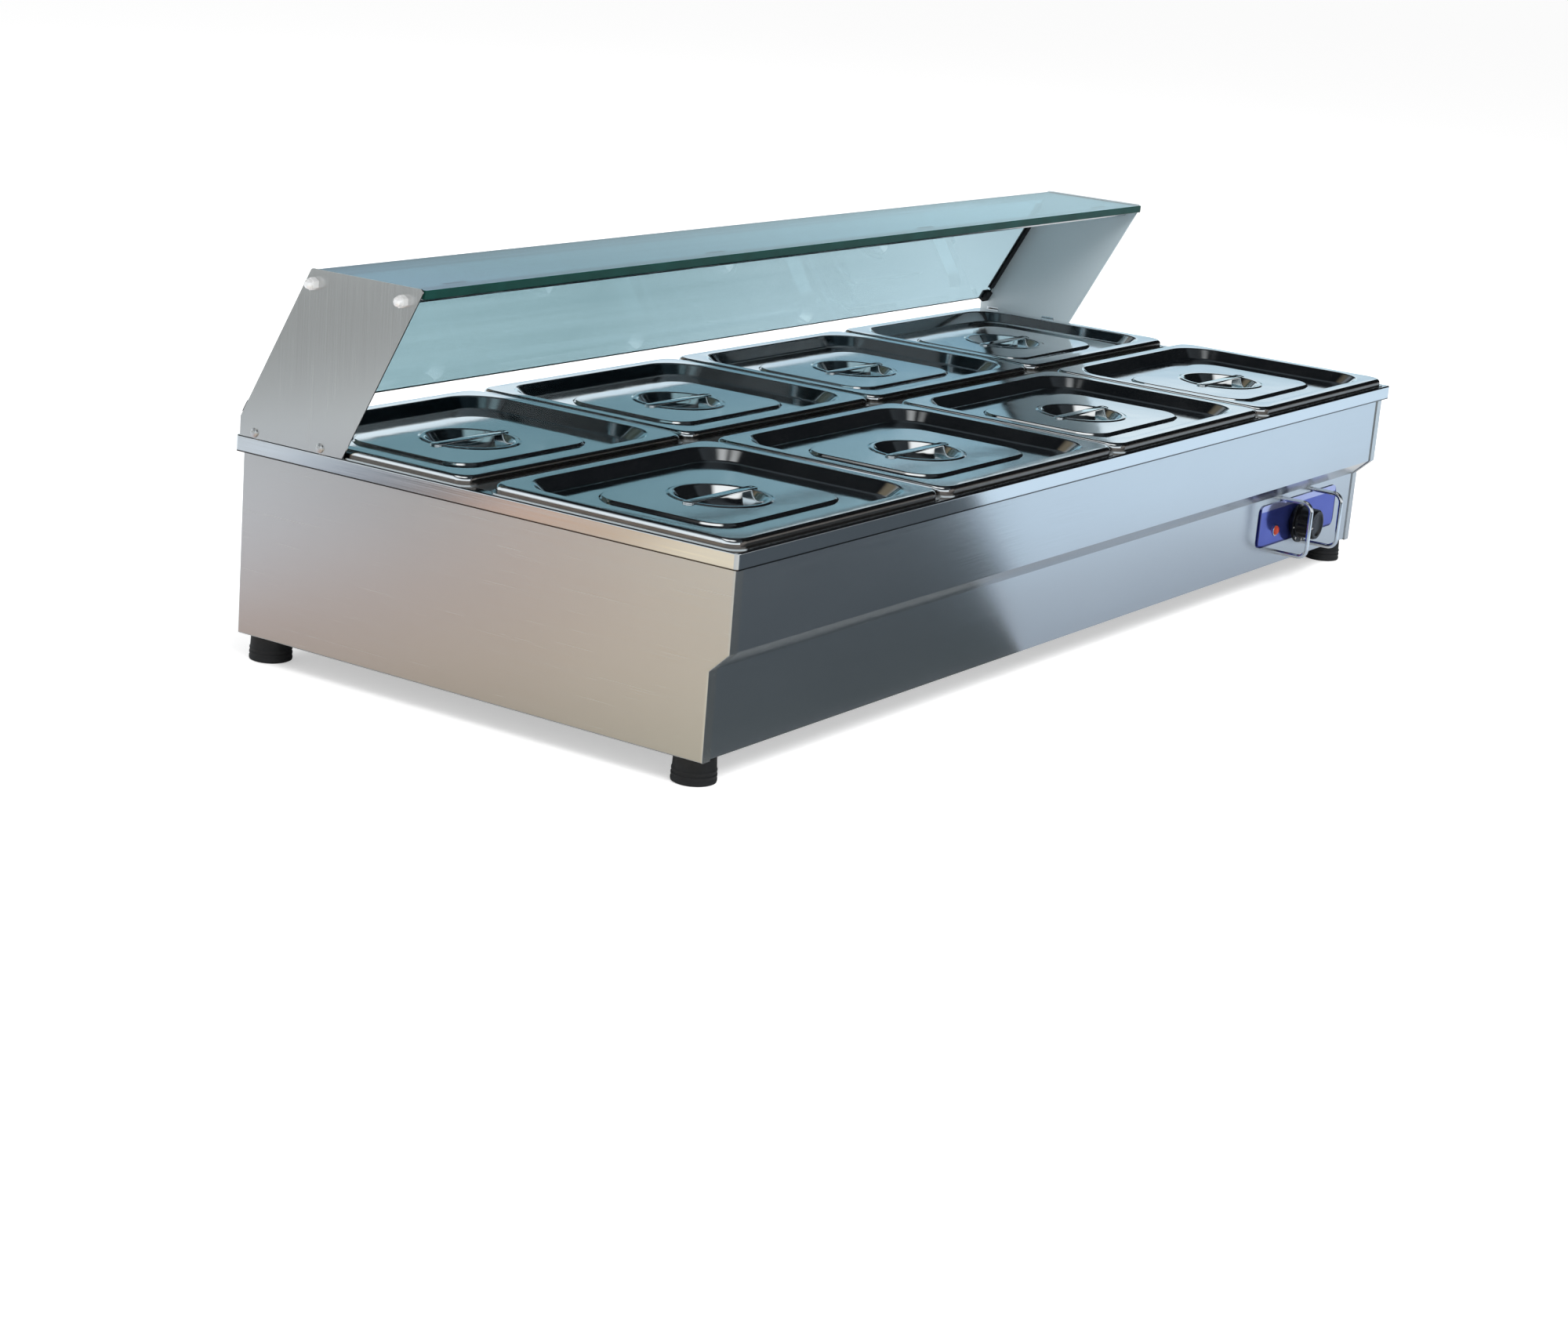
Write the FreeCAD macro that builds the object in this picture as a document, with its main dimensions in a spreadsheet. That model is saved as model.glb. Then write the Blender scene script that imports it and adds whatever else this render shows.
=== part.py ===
import FreeCAD, Part
import os
import re
import Sketcher
from math import radians, sin, tan
from FreeCAD import Placement, Rotation, Vector

# Bain-marie with eight lidded pans in two rows, a water bath and a glass food guard.
# Frame: millimetres, +X along the counter to the right, +Y to the rear, +Z up,
# origin under the middle of the whole object, at the height it stands on.

COLUMNS = 4
ROWS = 2
SLOTS = 16

DOC = FreeCAD.newDocument("bain_marie")
SHEET = DOC.addObject("Spreadsheet::Sheet", "Sizes")

# Driving sizes first, then the sizes that follow from them.
SIZES = [
    # Gastronorm half pan, flange size and depth
    ("pan_length", 325), ("pan_width", 265), ("pan_depth", 65), ("pan_sheet", 0.8),
    ("pan_flange", 12.5), ("pan_corner", 14), ("pan_wall_corner", 30), ("pan_draft", 5),
    ("pan_floor_round", 12), ("pan_gap_along", 3), ("pan_gap_across", 20),
    # Rim frame round the pans, and the shell sheet
    ("rim_margin", 4), ("seat_width", 6.5), ("rim_height", 15), ("rim_sheet", 1.2),
    ("rim_corner", 4), ("rim_edge_round", 1.5), ("rim_overhang", 5.5), ("shell_sheet", 1.2),
    ("fold_width", 12), ("fold_round", 1.8),
    # Body height, the step in its front and the slots in its base
    ("foot_height", 24), ("body_height", 186), ("step_drop", 88), ("step_height", 18),
    ("step_back", 19), ("fascia_lip", 10), ("notch_margin", 10), ("slot_width", 6),
    ("slot_length", 50), ("slot_row", 90), ("slot_inset", 260),
    # Water tank and the bars that carry the pans
    ("tank_sheet", 1), ("tank_depth", 100), ("tank_flange", 2.5), ("tank_chamfer", 18),
    ("bar_height", 20), ("bar_sheet", 1.2),
    # Lid: edge, sunk field, raised panel and finger dish
    ("lid_inset", 2.5), ("lid_sheet", 0.8), ("lid_edge", 7.5), ("lid_corner", 14),
    ("lid_edge_round", 4.5), ("lid_land", 14), ("recess_depth", 11), ("recess_run", 12),
    ("recess_corner", 42), ("recess_round", 1.6), ("panel_margin_along", 65),
    ("panel_margin_across", 58), ("panel_rise", 2.5), ("panel_run", 2), ("panel_corner", 26),
    ("dish_radius", 42), ("dish_floor_radius", 26), ("dish_depth", 14), ("dish_round", 4.8),
    ("dish_lip", 6), ("dish_lip_flat", 3.6), ("dish_lip_rise", 1), ("handle_width", 10),
    ("handle_sheet", 1.5), ("handle_overlap", 11), ("handle_slack", 0.3), ("handle_corner", 4),
    ("handle_edge", 0.5),
    # Food guard
    ("guard_height", 163), ("guard_kink", 17.5), ("guard_sheet", 1.5), ("guard_inset", 0.8),
    ("guard_rear_inset", 5), ("guard_top_set", 84), ("guard_top_width", 130),
    ("guard_base_width", 128), ("guard_corner", 3), ("rod_radius", 3), ("rod_front_set", 23),
    ("rod_rear_set", 4), ("rod_end", 8), ("top_glass", 8), ("top_glass_set", 1),
    ("glass_front_gap", 0.5), ("shelf_overhang", 2.5), ("glass_edge", 0.6), ("pad_height", 1),
    ("pad_length", 30), ("pad_width", 5), ("back_glass", 5), ("back_glass_lift", 21),
    ("back_glass_gap", 0.5), ("back_glass_over", 1), ("glass_side_gap", 1), ("clip_length", 14),
    ("clip_wall", 3), ("clip_grip", 9), ("nut_flats", 10), ("nut_height", 6), ("nut_dome", 5),
    ("lug_sheet", 1), ("lug_width", 16), ("lug_height", 10), ("lug_front_set", 102),
    ("lug_rear_set", 23), ("screw_height", 5),
    # Controls on the lower front
    ("control_set", 161), ("control_plate_length", 200), ("control_plate_height", 48),
    ("control_plate_sheet", 1.5), ("control_plate_corner", 9), ("control_plate_drop", 7),
    ("knob_shift", 6), ("knob_drop", 4), ("knob_skirt_radius", 23.5), ("knob_skirt", 8),
    ("knob_hub", 4.5), ("knob_radius", 18), ("knob_height", 27), ("knob_edge", 1),
    ("knob_taper", 1), ("knob_bevel", 1.5), ("knob_gap", 1), ("knob_cavity", 13),
    ("knob_cavity_depth", 15.5), ("knob_end", 4), ("spindle_radius", 3), ("spindle_root", 10), ("spindle_end_gap", 2),
    ("running_gap", 0.05), ("bush_radius", 5), ("bush_reach", 8), ("lamp_shift", 57),
    ("lamp_drop", 8), ("lamp_radius", 6.5), ("lamp_rim", 1), ("lamp_dome", 4),
    ("lamp_body_radius", 5), ("lamp_body_length", 22), ("wire_radius", 2.5), ("wire_reach", 37),
    ("wire_spread", 40), ("wire_height", 61.6), ("wire_bend", 10), ("wire_tail", 8),
    ("wire_nut", 4), ("wire_nut_radius", 3.8), ("thermostat_size", 36), ("thermostat_depth", 30),
    # Heating element and bulb, and where their tubes leave the tank
    ("element_radius", 4), ("element_lift", 14), ("element_half_length", 560),
    ("element_half_width", 110), ("element_bend", 24), ("element_tail", 22),
    ("element_tail_bend", 16), ("element_rest_width", 20), ("bulb_radius", 3.5),
    ("bulb_length", 90), ("bulb_lift", 8), ("bulb_shift", 70), ("bulb_set", 30),
    ("capillary_radius", 1.5), ("capillary_lead", 30), ("capillary_bend", 7),
    ("tank_bush_flats", 22), ("tank_bush_height", 5),
    # Drain, electrical fittings, feet and fasteners
    ("drain_inset_along", 80), ("drain_inset_across", 60), ("drain_radius", 9),
    ("drain_bore", 7), ("drain_gap", 1), ("drain_drop", 8), ("drain_cap_radius", 13),
    ("drain_cap_floor", 2), ("cutout_radius", 9), ("cutout_height", 8), ("cutout_shift", 170),
    ("tag_length", 24), ("tag_width", 6), ("tag_height", 3), ("terminal_length", 60),
    ("terminal_width", 22), ("terminal_height", 16), ("terminal_post_width", 10),
    ("terminal_post_height", 22), ("terminal_set", 60), ("terminal_shift", 110),
    ("gland_set", 90), ("gland_height", 40), ("gland_reach", 16), ("gland_radius", 11),
    ("gland_bore", 5), ("gland_thread", 8), ("gland_tail", 10), ("gland_step", 1.5),
    ("gland_taper", 4), ("foot_inset", 22), ("foot_radius", 20), ("foot_edge", 1.5),
    ("foot_taper", 1.5), ("foot_spigot", 9), ("foot_socket", 6), ("foot_socket_depth", 12),
    ("foot_screw_tail", 6), ("screw_radius", 2.5), ("screw_head", 4.5), ("screw_gap", 0.1),
    ("screw_over", 0.5), ("hole_gap", 0.2), ("cut_over", 1),
    # Overall lengths of the rim, and how far things stand out in front and behind
    ("rim_length", "=%d * pan_length + %d * pan_gap_along + 2 * rim_margin" % (COLUMNS, COLUMNS - 1)),
    ("rim_depth", "=%d * pan_width + %d * pan_gap_across + 2 * rim_margin" % (ROWS, ROWS - 1)),
    ("front_reach", "=max(wire_reach + wire_radius - rim_overhang - step_back - shell_sheet; 0)"),
    ("rear_reach", "=max(gland_reach - shell_sheet - rim_overhang; 0)"),
    ("rim_front", "=(front_reach - rear_reach - rim_depth) / 2"),
    ("rim_rear", "=rim_front + rim_depth"),
    ("rim_top", "=foot_height + body_height"),
    ("deck_under", "=rim_top - rim_sheet"),
    # Planes of the shell
    ("side_x", "=rim_length / 2 - rim_overhang"),
    ("face_y", "=rim_front + rim_overhang"),
    ("lower_y", "=face_y + step_back"),
    ("panel_y", "=lower_y + shell_sheet"),
    ("back_y", "=rim_rear - rim_overhang"),
    ("rear_panel_y", "=back_y - shell_sheet"),
    ("step_top", "=rim_top - step_drop"),
    ("step_low", "=step_top - step_height"),
    # Opening under the pans, and the tank below it
    ("opening_x", "=rim_length / 2 - rim_margin - seat_width"),
    ("opening_front", "=rim_front + rim_margin + seat_width"),
    ("opening_rear", "=rim_rear - rim_margin - seat_width"),
    ("tank_floor", "=rim_top - tank_depth"),
    ("centre_y", "=rim_front + rim_margin + pan_width + pan_gap_across / 2"),
    ("centre_half", "=pan_gap_across / 2 + seat_width"),
    # Food guard
    ("guard_top", "=rim_top + guard_height"),
    ("guard_x", "=rim_length / 2 - guard_inset"),
    ("guard_rear_y", "=rim_rear - guard_rear_inset"),
    ("guard_top_rear", "=rim_rear - guard_top_set"),
    ("guard_top_front", "=guard_top_rear - guard_top_width"),
    ("glass_half", "=guard_x - guard_sheet - glass_side_gap"),
    ("top_glass_z", "=guard_top - top_glass_set - top_glass"),
    ("rod_z", "=top_glass_z - pad_height - rod_radius"),
    ("rod_front_y", "=guard_top_front + rod_front_set"),
    ("rod_rear_y", "=guard_top_rear - rod_rear_set"),
    ("guard_lean", "=atan((guard_rear_y - guard_top_rear) / (guard_height - guard_kink))"),
    ("lean_sin", "=sin(guard_lean)"),
    ("lean_cos", "=cos(guard_lean)"),
    ("back_glass_low", "=rim_top + back_glass_lift"),
    ("back_glass_y", "=rod_rear_y + lean_cos * (rod_radius + back_glass_gap)"),
    ("back_glass_z", "=rod_z + lean_sin * (rod_radius + back_glass_gap)"),
    ("back_glass_run", "=(back_glass_z - back_glass_low) / lean_cos"),
    # Controls
    ("control_x", "=rim_length / 2 - control_set"),
    ("control_z", "=step_low - control_plate_drop - control_plate_height / 2"),
    ("knob_x", "=control_x - knob_shift"),
    ("knob_z", "=control_z - knob_drop"),
    ("lamp_x", "=control_x - lamp_shift"),
    ("lamp_z", "=control_z - lamp_drop"),
    ("plate_y", "=panel_y - control_plate_sheet"),
    ("case_top", "=knob_z + thermostat_size / 2"),
    # Tank fittings, gland and feet
    ("bulb_x", "=knob_x - bulb_shift"),
    ("bulb_y", "=centre_y - bulb_set"),
    ("drain_x", "=drain_inset_along - opening_x"),
    ("drain_y", "=opening_rear - drain_inset_across"),
    ("drain_low", "=foot_height - drain_drop"),
    ("base_top", "=foot_height + 2 * shell_sheet"),
    ("gland_x", "=side_x - gland_set"),
    ("gland_z", "=foot_height + gland_height"),
    ("foot_x", "=side_x - foot_inset"),
    ("foot_front", "=lower_y + foot_inset"),
    ("foot_rear", "=back_y - foot_inset"),
]

for row, (alias, value) in enumerate(SIZES, start=1):
    SHEET.set("A%d" % row, alias)
    SHEET.set("B%d" % row, str(value))
    SHEET.setAlias("B%d" % row, alias)
DOC.recompute()

NODES = []


def number(formula):
    """The value of a formula of sheet names, as a plain number."""
    return float(SHEET.evalExpression(formula))


def bind(item, setting, formula):
    """Tie one setting of an object to a formula of sheet names."""
    item.setExpression(setting, re.sub(r"\b[a-z][a-z_0-9]*\b(?!\()", r"Sizes.\g<0>", formula))


def at(item, x="0", y="0", z="0", axis=None, angle=0):
    """Place an object at formulas, turned about one axis."""
    turn = Rotation(Vector(*axis), angle) if axis else Rotation()
    item.Placement = Placement(Vector(number(x), number(y), number(z)), turn)
    for letter, formula in zip("xyz", (x, y, z)):
        bind(item, "Placement.Base." + letter, formula)
    return item


def node(item, label):
    """Name a finished sub-part and keep it for the hand-out."""
    item.Label = label
    NODES.append(item)
    return item


def part_of(kind, **settings):
    """A Part primitive whose sizes are formulas."""
    item = DOC.addObject("Part::" + kind, kind)
    for setting, formula in settings.items():
        bind(item, setting, formula)
    return item


def box(x, y, z, length, width, height):
    return at(part_of("Box", Length=length, Width=width, Height=height), x, y, z)


def rod(radius, length, x, y, z, axis=None, angle=0):
    return at(part_of("Cylinder", Radius=radius, Height=length), x, y, z, axis, angle)


def hexagon(flats, height, x, y, z, axis=None, angle=0):
    item = part_of("Prism", Circumradius="(%s) / 2 / cos(30)" % flats, Height=height)
    item.Polygon = 6
    return at(item, x, y, z, axis, angle)


def fuse(*items):
    item = DOC.addObject("Part::MultiFuse", "joined")
    item.Shapes = list(items)
    return item


def cut(base, *tools):
    item = DOC.addObject("Part::Cut", "cut")
    item.Base = base
    item.Tool = tools[0] if len(tools) == 1 else fuse(*tools)
    return item


def group(*items):
    item = DOC.addObject("Part::Compound", "group")
    item.Links = list(items)
    return item


def within(item, space):
    """The part of an object that lies in a space."""
    piece = DOC.addObject("Part::Common", "piece")
    piece.Base = item
    piece.Tool = space
    return piece


def new_body():
    return DOC.addObject("PartDesign::Body", "body")


def new_sketch(body, plane, height="0"):
    """A sketch on one of the body's own origin planes, lifted along its normal."""
    sketch = body.newObject("Sketcher::SketchObject", "outline")
    base = [item for item in body.Origin.OriginFeatures if item.Role == plane + "_Plane"][0]
    sketch.AttachmentSupport = (base, [""])
    sketch.MapMode = "FlatFace"
    bind(sketch, "AttachmentOffset.Base.z", height)
    return sketch


def hold(sketch, kind, piece, point, formula):
    """Set the distance of a point from the sketch origin."""
    value = number(formula)
    count = sketch.addConstraint(Sketcher.Constraint(kind, -1, 1, piece, point, value))
    bind(sketch, "Constraints[%d]" % count, formula)


def polygon(sketch, *corners):
    """A closed outline of straight sides, each corner a pair of formulas."""
    points = [Vector(number(across), number(up), 0) for across, up in corners]
    first = sketch.GeometryCount
    total = len(points)
    for place in range(total):
        side = Part.LineSegment(points[place], points[(place + 1) % total])
        sketch.addGeometry(side, False)
    for place, (across, up) in enumerate(corners):
        follower = first + (place + 1) % total
        sketch.addConstraint(Sketcher.Constraint("Coincident", first + place, 2, follower, 1))
        hold(sketch, "DistanceX", first + place, 1, across)
        hold(sketch, "DistanceY", first + place, 1, up)
    return sketch


def rectangle(sketch, left, right, low, high):
    return polygon(sketch, (left, low), (right, low), (right, high), (left, high))


def circle(sketch, across, up, radius):
    """A circle at a pair of formulas."""
    centre = Vector(number(across), number(up), 0)
    place = sketch.addGeometry(Part.Circle(centre, Vector(0, 0, 1), number(radius)), False)
    hold(sketch, "DistanceX", place, 3, across)
    hold(sketch, "DistanceY", place, 3, up)
    count = sketch.addConstraint(Sketcher.Constraint("Radius", place, number(radius)))
    bind(sketch, "Constraints[%d]" % count, radius)
    return sketch


def rounded(sketch, length, width, radius, across="0", up="0"):
    """A rectangle with round corners about a centre."""
    half, tall = number(length) / 2, number(width) / 2
    turn, mid, rise = number(radius), number(across), number(up)
    first = sketch.GeometryCount
    corners = [(1, -1, 270), (1, 1, 0), (-1, 1, 90), (-1, -1, 180)]
    ends = []
    for side, end, start in corners:
        centre = Vector(mid + side * (half - turn), rise + end * (tall - turn), 0)
        whole = Part.Circle(centre, Vector(0, 0, 1), turn)
        arc = Part.ArcOfCircle(whole, radians(start), radians(start + 90))
        ends.append(arc)
    for place, arc in enumerate(ends):
        before = ends[place - 1]
        sketch.addGeometry(Part.LineSegment(before.EndPoint, arc.StartPoint), False)
        sketch.addGeometry(arc, False)
    for place in range(4):
        line, arc = first + 2 * place, first + 2 * place + 1
        follower = first + (2 * place + 2) % 8
        sketch.addConstraint(Sketcher.Constraint("Tangent", line, 2, arc, 1))
        sketch.addConstraint(Sketcher.Constraint("Tangent", arc, 2, follower, 1))
        way = "Horizontal" if place % 2 == 0 else "Vertical"
        sketch.addConstraint(Sketcher.Constraint(way, line))
        if place:
            sketch.addConstraint(Sketcher.Constraint("Equal", first + 1, arc))
    count = sketch.addConstraint(Sketcher.Constraint("Radius", first + 1, turn))
    bind(sketch, "Constraints[%d]" % count, radius)
    hold(sketch, "DistanceY", first, 1, "(%s) - (%s) / 2" % (up, width))
    hold(sketch, "DistanceX", first + 2, 1, "(%s) + (%s) / 2" % (across, length))
    hold(sketch, "DistanceY", first + 4, 1, "(%s) + (%s) / 2" % (up, width))
    hold(sketch, "DistanceX", first + 6, 1, "(%s) - (%s) / 2" % (across, length))
    return sketch


def pad(body, sketch, length, back=False, middle=False):
    """Raise a sketch along its normal, against it, or both ways."""
    feature = body.newObject("PartDesign::Pad", "pad")
    feature.Profile = sketch
    bind(feature, "Length", length)
    feature.Reversed = back
    feature.Midplane = middle
    return feature


def pocket(body, sketch, length=None, along=False, middle=False):
    """Sink a sketch against its normal, or along it; right through with no length."""
    feature = body.newObject("PartDesign::Pocket", "pocket")
    feature.Profile = sketch
    feature.Reversed = along
    feature.Midplane = middle
    if length is None:
        feature.Type = "ThroughAll"
    else:
        bind(feature, "Length", length)
    return feature


def loft(body, kind, low, high):
    """A straight-sided loft between two sketches, added or taken away."""
    feature = body.newObject("PartDesign::%sLoft" % kind, "loft")
    feature.Profile = low
    feature.Sections = [high]
    feature.Ruled = True
    return feature


def turned(body, kind, *corners):
    """Turn an outline of (radius, height) formulas round the body's Z axis."""
    sketch = polygon(new_sketch(body, "XZ"), *corners)
    feature = body.newObject("PartDesign::" + kind, "turned")
    feature.Profile = sketch
    feature.ReferenceAxis = (sketch, ["V_Axis"])
    feature.Angle = 360
    return feature


def fillet(body, feature, radius, wanted):
    """Round the edges of a feature whose box the test accepts."""
    DOC.recompute()
    edges = []
    for place, edge in enumerate(feature.Shape.Edges, start=1):
        if wanted(edge.BoundBox):
            edges.append("Edge%d" % place)
    item = body.newObject("PartDesign::Fillet", "round")
    item.Base = (feature, edges)
    bind(item, "Radius", radius)
    return item


def near(value, formula, slack=0.01):
    return abs(value - number(formula)) < slack


def level(height, slack=0.01):
    """A test for edges that lie flat at a height formula."""
    return lambda limits: near(limits.ZMin, height, slack) and near(limits.ZMax, height, slack)


# Rim frame: four folded rails, welded at their ends, round the opening on which the pans rest
def make_top_frame():
    body = at(new_body(), "0", "rim_front + rim_depth / 2", "rim_top")
    outer = rounded(new_sketch(body, "XY"), "rim_length", "rim_depth", "rim_corner")
    block = pad(body, outer, "rim_height", back=True)
    fillet(body, block, "rim_edge_round", level("0"))
    inner = rounded(
        new_sketch(body, "XY", "-rim_height"),
        "rim_length - 2 * rim_sheet", "rim_depth - 2 * rim_sheet", "rim_corner - rim_sheet")
    pocket(body, inner, "rim_height - rim_sheet", along=True)
    opening = rectangle(
        new_sketch(body, "XY"), "-opening_x", "opening_x",
        "-(opening_rear - opening_front) / 2", "(opening_rear - opening_front) / 2")
    pocket(body, opening)
    rails = []
    end = "rim_length / 2 + cut_over - opening_x"
    for start in ("-rim_length / 2 - cut_over", "opening_x"):
        rails.append(within(body, rail_space(start, "rim_front - cut_over", end,
                                             "rim_depth + 2 * cut_over")))
    for front in ("rim_front - cut_over", "rim_front + rim_depth / 2"):
        rails.append(within(body, rail_space("-opening_x", front, "2 * opening_x",
                                             "rim_depth / 2 + cut_over")))
    node(group(*rails), "top_frame")


def rail_space(x, y, length, width):
    """A space as high as the rim frame, with a little over."""
    return box(x, y, "rim_top - rim_height - cut_over", length, width, "rim_height + 2 * cut_over")


# Lugs: small tabs welded upright on the deck, to which the food guard is screwed
def make_guard_lugs():
    lugs = []
    for side in (-1, 1):
        start = "-guard_x + guard_sheet" if side < 0 else "guard_x - guard_sheet - lug_sheet"
        for place in ("lug_front_set", "lug_rear_set"):
            tab = box(start, "rim_rear - %s - lug_width / 2" % place, "rim_top",
                      "lug_sheet", "lug_width", "lug_height")
            hole = rod("screw_radius", "lug_sheet + 2 * cut_over", start + " - cut_over",
                       "rim_rear - " + place, "rim_top + screw_height", (0, 1, 0), 90)
            lugs.append(cut(tab, hole))
    node(group(*lugs), "guard_lugs")


# Side panels: trays of one sheet, folded inwards in front, below and behind
def shell_outline(sketch, shift, top):
    """The stepped outline of the body seen from its side, drawn in by a shift."""
    return polygon(
        sketch,
        ("face_y + " + shift, top),
        ("face_y + " + shift, "step_top"),
        ("lower_y + " + shift, "step_low"),
        ("lower_y + " + shift, "foot_height + " + shift),
        ("back_y - " + shift, "foot_height + " + shift),
        ("back_y - " + shift, top))


def make_side_panel(label, side):
    body = at(new_body(), "%d * side_x" % side)
    right = side > 0
    outline = shell_outline(new_sketch(body, "YZ"), "0", "deck_under")
    tray = pad(body, outline, "fold_width", back=right)
    fillet(body, tray, "fold_round", lambda limits: (
        near(limits.XMin, "0") and near(limits.XMax, "0") and not near(limits.ZMin, "deck_under")))
    inner = shell_outline(
        new_sketch(body, "YZ", "%d * shell_sheet" % -side), "shell_sheet", "deck_under + cut_over")
    pocket(body, inner, "fold_width", along=not right)
    node(body, label)


# Front: a stepped upper sheet, and the lower panel that carries the controls
def make_front_fascia():
    body = new_body()
    top, sheet = "deck_under", "shell_sheet"
    outline = polygon(
        new_sketch(body, "YZ"),
        ("face_y + " + sheet, top), ("face_y + " + sheet, "step_top"),
        ("panel_y", "step_low"), ("panel_y + " + sheet, "step_low"),
        ("panel_y + " + sheet, "step_low - fascia_lip"),
        ("panel_y + 2 * " + sheet, "step_low - fascia_lip"),
        ("panel_y + 2 * " + sheet, "step_low + " + sheet),
        ("face_y + 2 * " + sheet, "step_top + " + sheet), ("face_y + 2 * " + sheet, top))
    pad(body, outline, "2 * (side_x - shell_sheet)", middle=True)
    notch = rectangle(
        new_sketch(body, "XZ"), "knob_x - wire_spread - notch_margin",
        "knob_x + wire_spread + notch_margin", "step_low - fascia_lip - cut_over", "step_low")
    pocket(body, notch, along=True)
    node(body, "front_fascia")


def wire_places():
    """The four points where the guard wires enter the front panel."""
    return [("knob_x + %d * wire_spread" % side, "knob_z + %d * wire_height / 2" % end)
            for side in (-1, 1) for end in (-1, 1)]


def make_lower_front_panel():
    body = at(new_body(), y="panel_y")
    outline = rectangle(
        new_sketch(body, "XZ"), "-(side_x - shell_sheet)", "side_x - shell_sheet",
        "foot_height + shell_sheet", "step_low")
    circle(outline, "knob_x", "knob_z", "bush_radius + hole_gap")
    circle(outline, "lamp_x", "lamp_z", "lamp_body_radius + hole_gap")
    for across, up in wire_places():
        circle(outline, across, up, "wire_radius + hole_gap")
    pad(body, outline, "shell_sheet", back=True)
    node(body, "lower_front_panel")


def make_rear_panel():
    body = at(new_body(), y="rear_panel_y")
    outline = rectangle(
        new_sketch(body, "XZ"), "-(side_x - shell_sheet)", "side_x - shell_sheet",
        "foot_height + shell_sheet", "deck_under")
    circle(outline, "gland_x", "gland_z", "gland_thread + hole_gap")
    pad(body, outline, "shell_sheet")
    node(body, "rear_panel")


def foot_places():
    return [("%d * foot_x" % side, depth) for side in (-1, 1) for depth in ("foot_front", "foot_rear")]


# Base plate: closes the body below, with slots for cooling air
def make_base_plate():
    body = at(new_body(), z="foot_height + shell_sheet")
    outline = rectangle(
        new_sketch(body, "XY"), "-(side_x - shell_sheet)", "side_x - shell_sheet",
        "panel_y + shell_sheet", "rear_panel_y - shell_sheet")
    for across, deep in foot_places():
        circle(outline, across, deep, "screw_radius + hole_gap")
    circle(outline, "drain_x", "drain_y", "drain_radius + drain_gap")
    pad(body, outline, "shell_sheet")
    slots = new_sketch(body, "XY", "shell_sheet")
    for deep in ("centre_y - slot_row", "centre_y + slot_row"):
        rounded(slots, "slot_width", "slot_length", "slot_width * 0.48", "slot_inset - side_x", deep)
    slot = pocket(body, slots, "2 * shell_sheet")
    row = body.newObject("PartDesign::LinearPattern", "row")
    row.Originals = [slot]
    row.Direction = (slots, ["H_Axis"])
    bind(row, "Length", "2 * (side_x - slot_inset)")
    row.Occurrences = SLOTS
    body.Tip = row
    node(body, "base_plate")


# Water tank: a welded tray under the deck, its front edge cut back behind the step
def tank_outline(sketch, wall, top):
    front, rear = "opening_front - " + wall, "opening_rear + " + wall
    floor = "tank_floor + tank_sheet - " + wall
    return polygon(
        sketch, (front, top), (front, floor + " + tank_chamfer"),
        (front + " + tank_chamfer", floor), (rear, floor), (rear, top))


def tank_tubes():
    """Where tubes pass through the tank floor: the two element ends and the bulb's tube."""
    return [("element_half_length", "centre_y - element_half_width", "element_radius"),
            ("element_half_length", "centre_y + element_half_width", "element_radius"),
            ("bulb_x", "bulb_y", "capillary_radius")]


def make_water_tank():
    body = new_body()
    shell = tank_outline(new_sketch(body, "YZ"), "tank_sheet", "deck_under")
    pad(body, shell, "2 * (opening_x + tank_sheet)", middle=True)
    inside = tank_outline(new_sketch(body, "YZ"), "0", "deck_under + cut_over")
    pocket(body, inside, "2 * opening_x", middle=True)
    flange = new_sketch(body, "XY", "deck_under")
    rectangle(flange, "-opening_x - tank_flange", "opening_x + tank_flange",
              "opening_front - tank_flange", "opening_rear + tank_flange")
    rectangle(flange, "-opening_x", "opening_x", "opening_front", "opening_rear")
    pad(body, flange, "tank_sheet", back=True)
    holes = new_sketch(body, "XY", "tank_floor + tank_sheet")
    for across, deep, radius in tank_tubes():
        circle(holes, across, deep, radius + " + hole_gap")
    circle(holes, "drain_x", "drain_y", "drain_bore")
    pocket(body, holes, "2 * tank_sheet")
    node(body, "water_tank")


# Bars: channels welded between the tank walls, flush with the deck
def channel(x, y, length, width, along):
    """An upside-down channel with its corner at x, y and its top flush with the deck."""
    whole = box(x, y, "rim_top - bar_height", length, width, "bar_height")
    if along:
        hollow = box(x, y + " + bar_sheet", "rim_top - bar_height",
                     length, width + " - 2 * bar_sheet", "bar_height - bar_sheet")
    else:
        hollow = box(x + " + bar_sheet", y, "rim_top - bar_height",
                     length + " - 2 * bar_sheet", width, "bar_height - bar_sheet")
    return cut(whole, hollow)


def make_bars():
    node(channel("-opening_x", "centre_y - centre_half", "2 * opening_x", "2 * centre_half", True),
         "centre_bar")
    bars = []
    for gap in range(COLUMNS - 1):
        middle = "%g * (pan_length + pan_gap_along)" % (gap - (COLUMNS - 2) / 2)
        x = middle + " - pan_gap_along / 2 - seat_width"
        width = "pan_gap_along + 2 * seat_width"
        bars.append(channel(x, "opening_front", width,
                            "centre_y - centre_half - opening_front", False))
        bars.append(channel(x, "centre_y + centre_half", width,
                            "opening_rear - centre_y - centre_half", False))
    node(group(*bars), "cross_bars")


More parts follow.
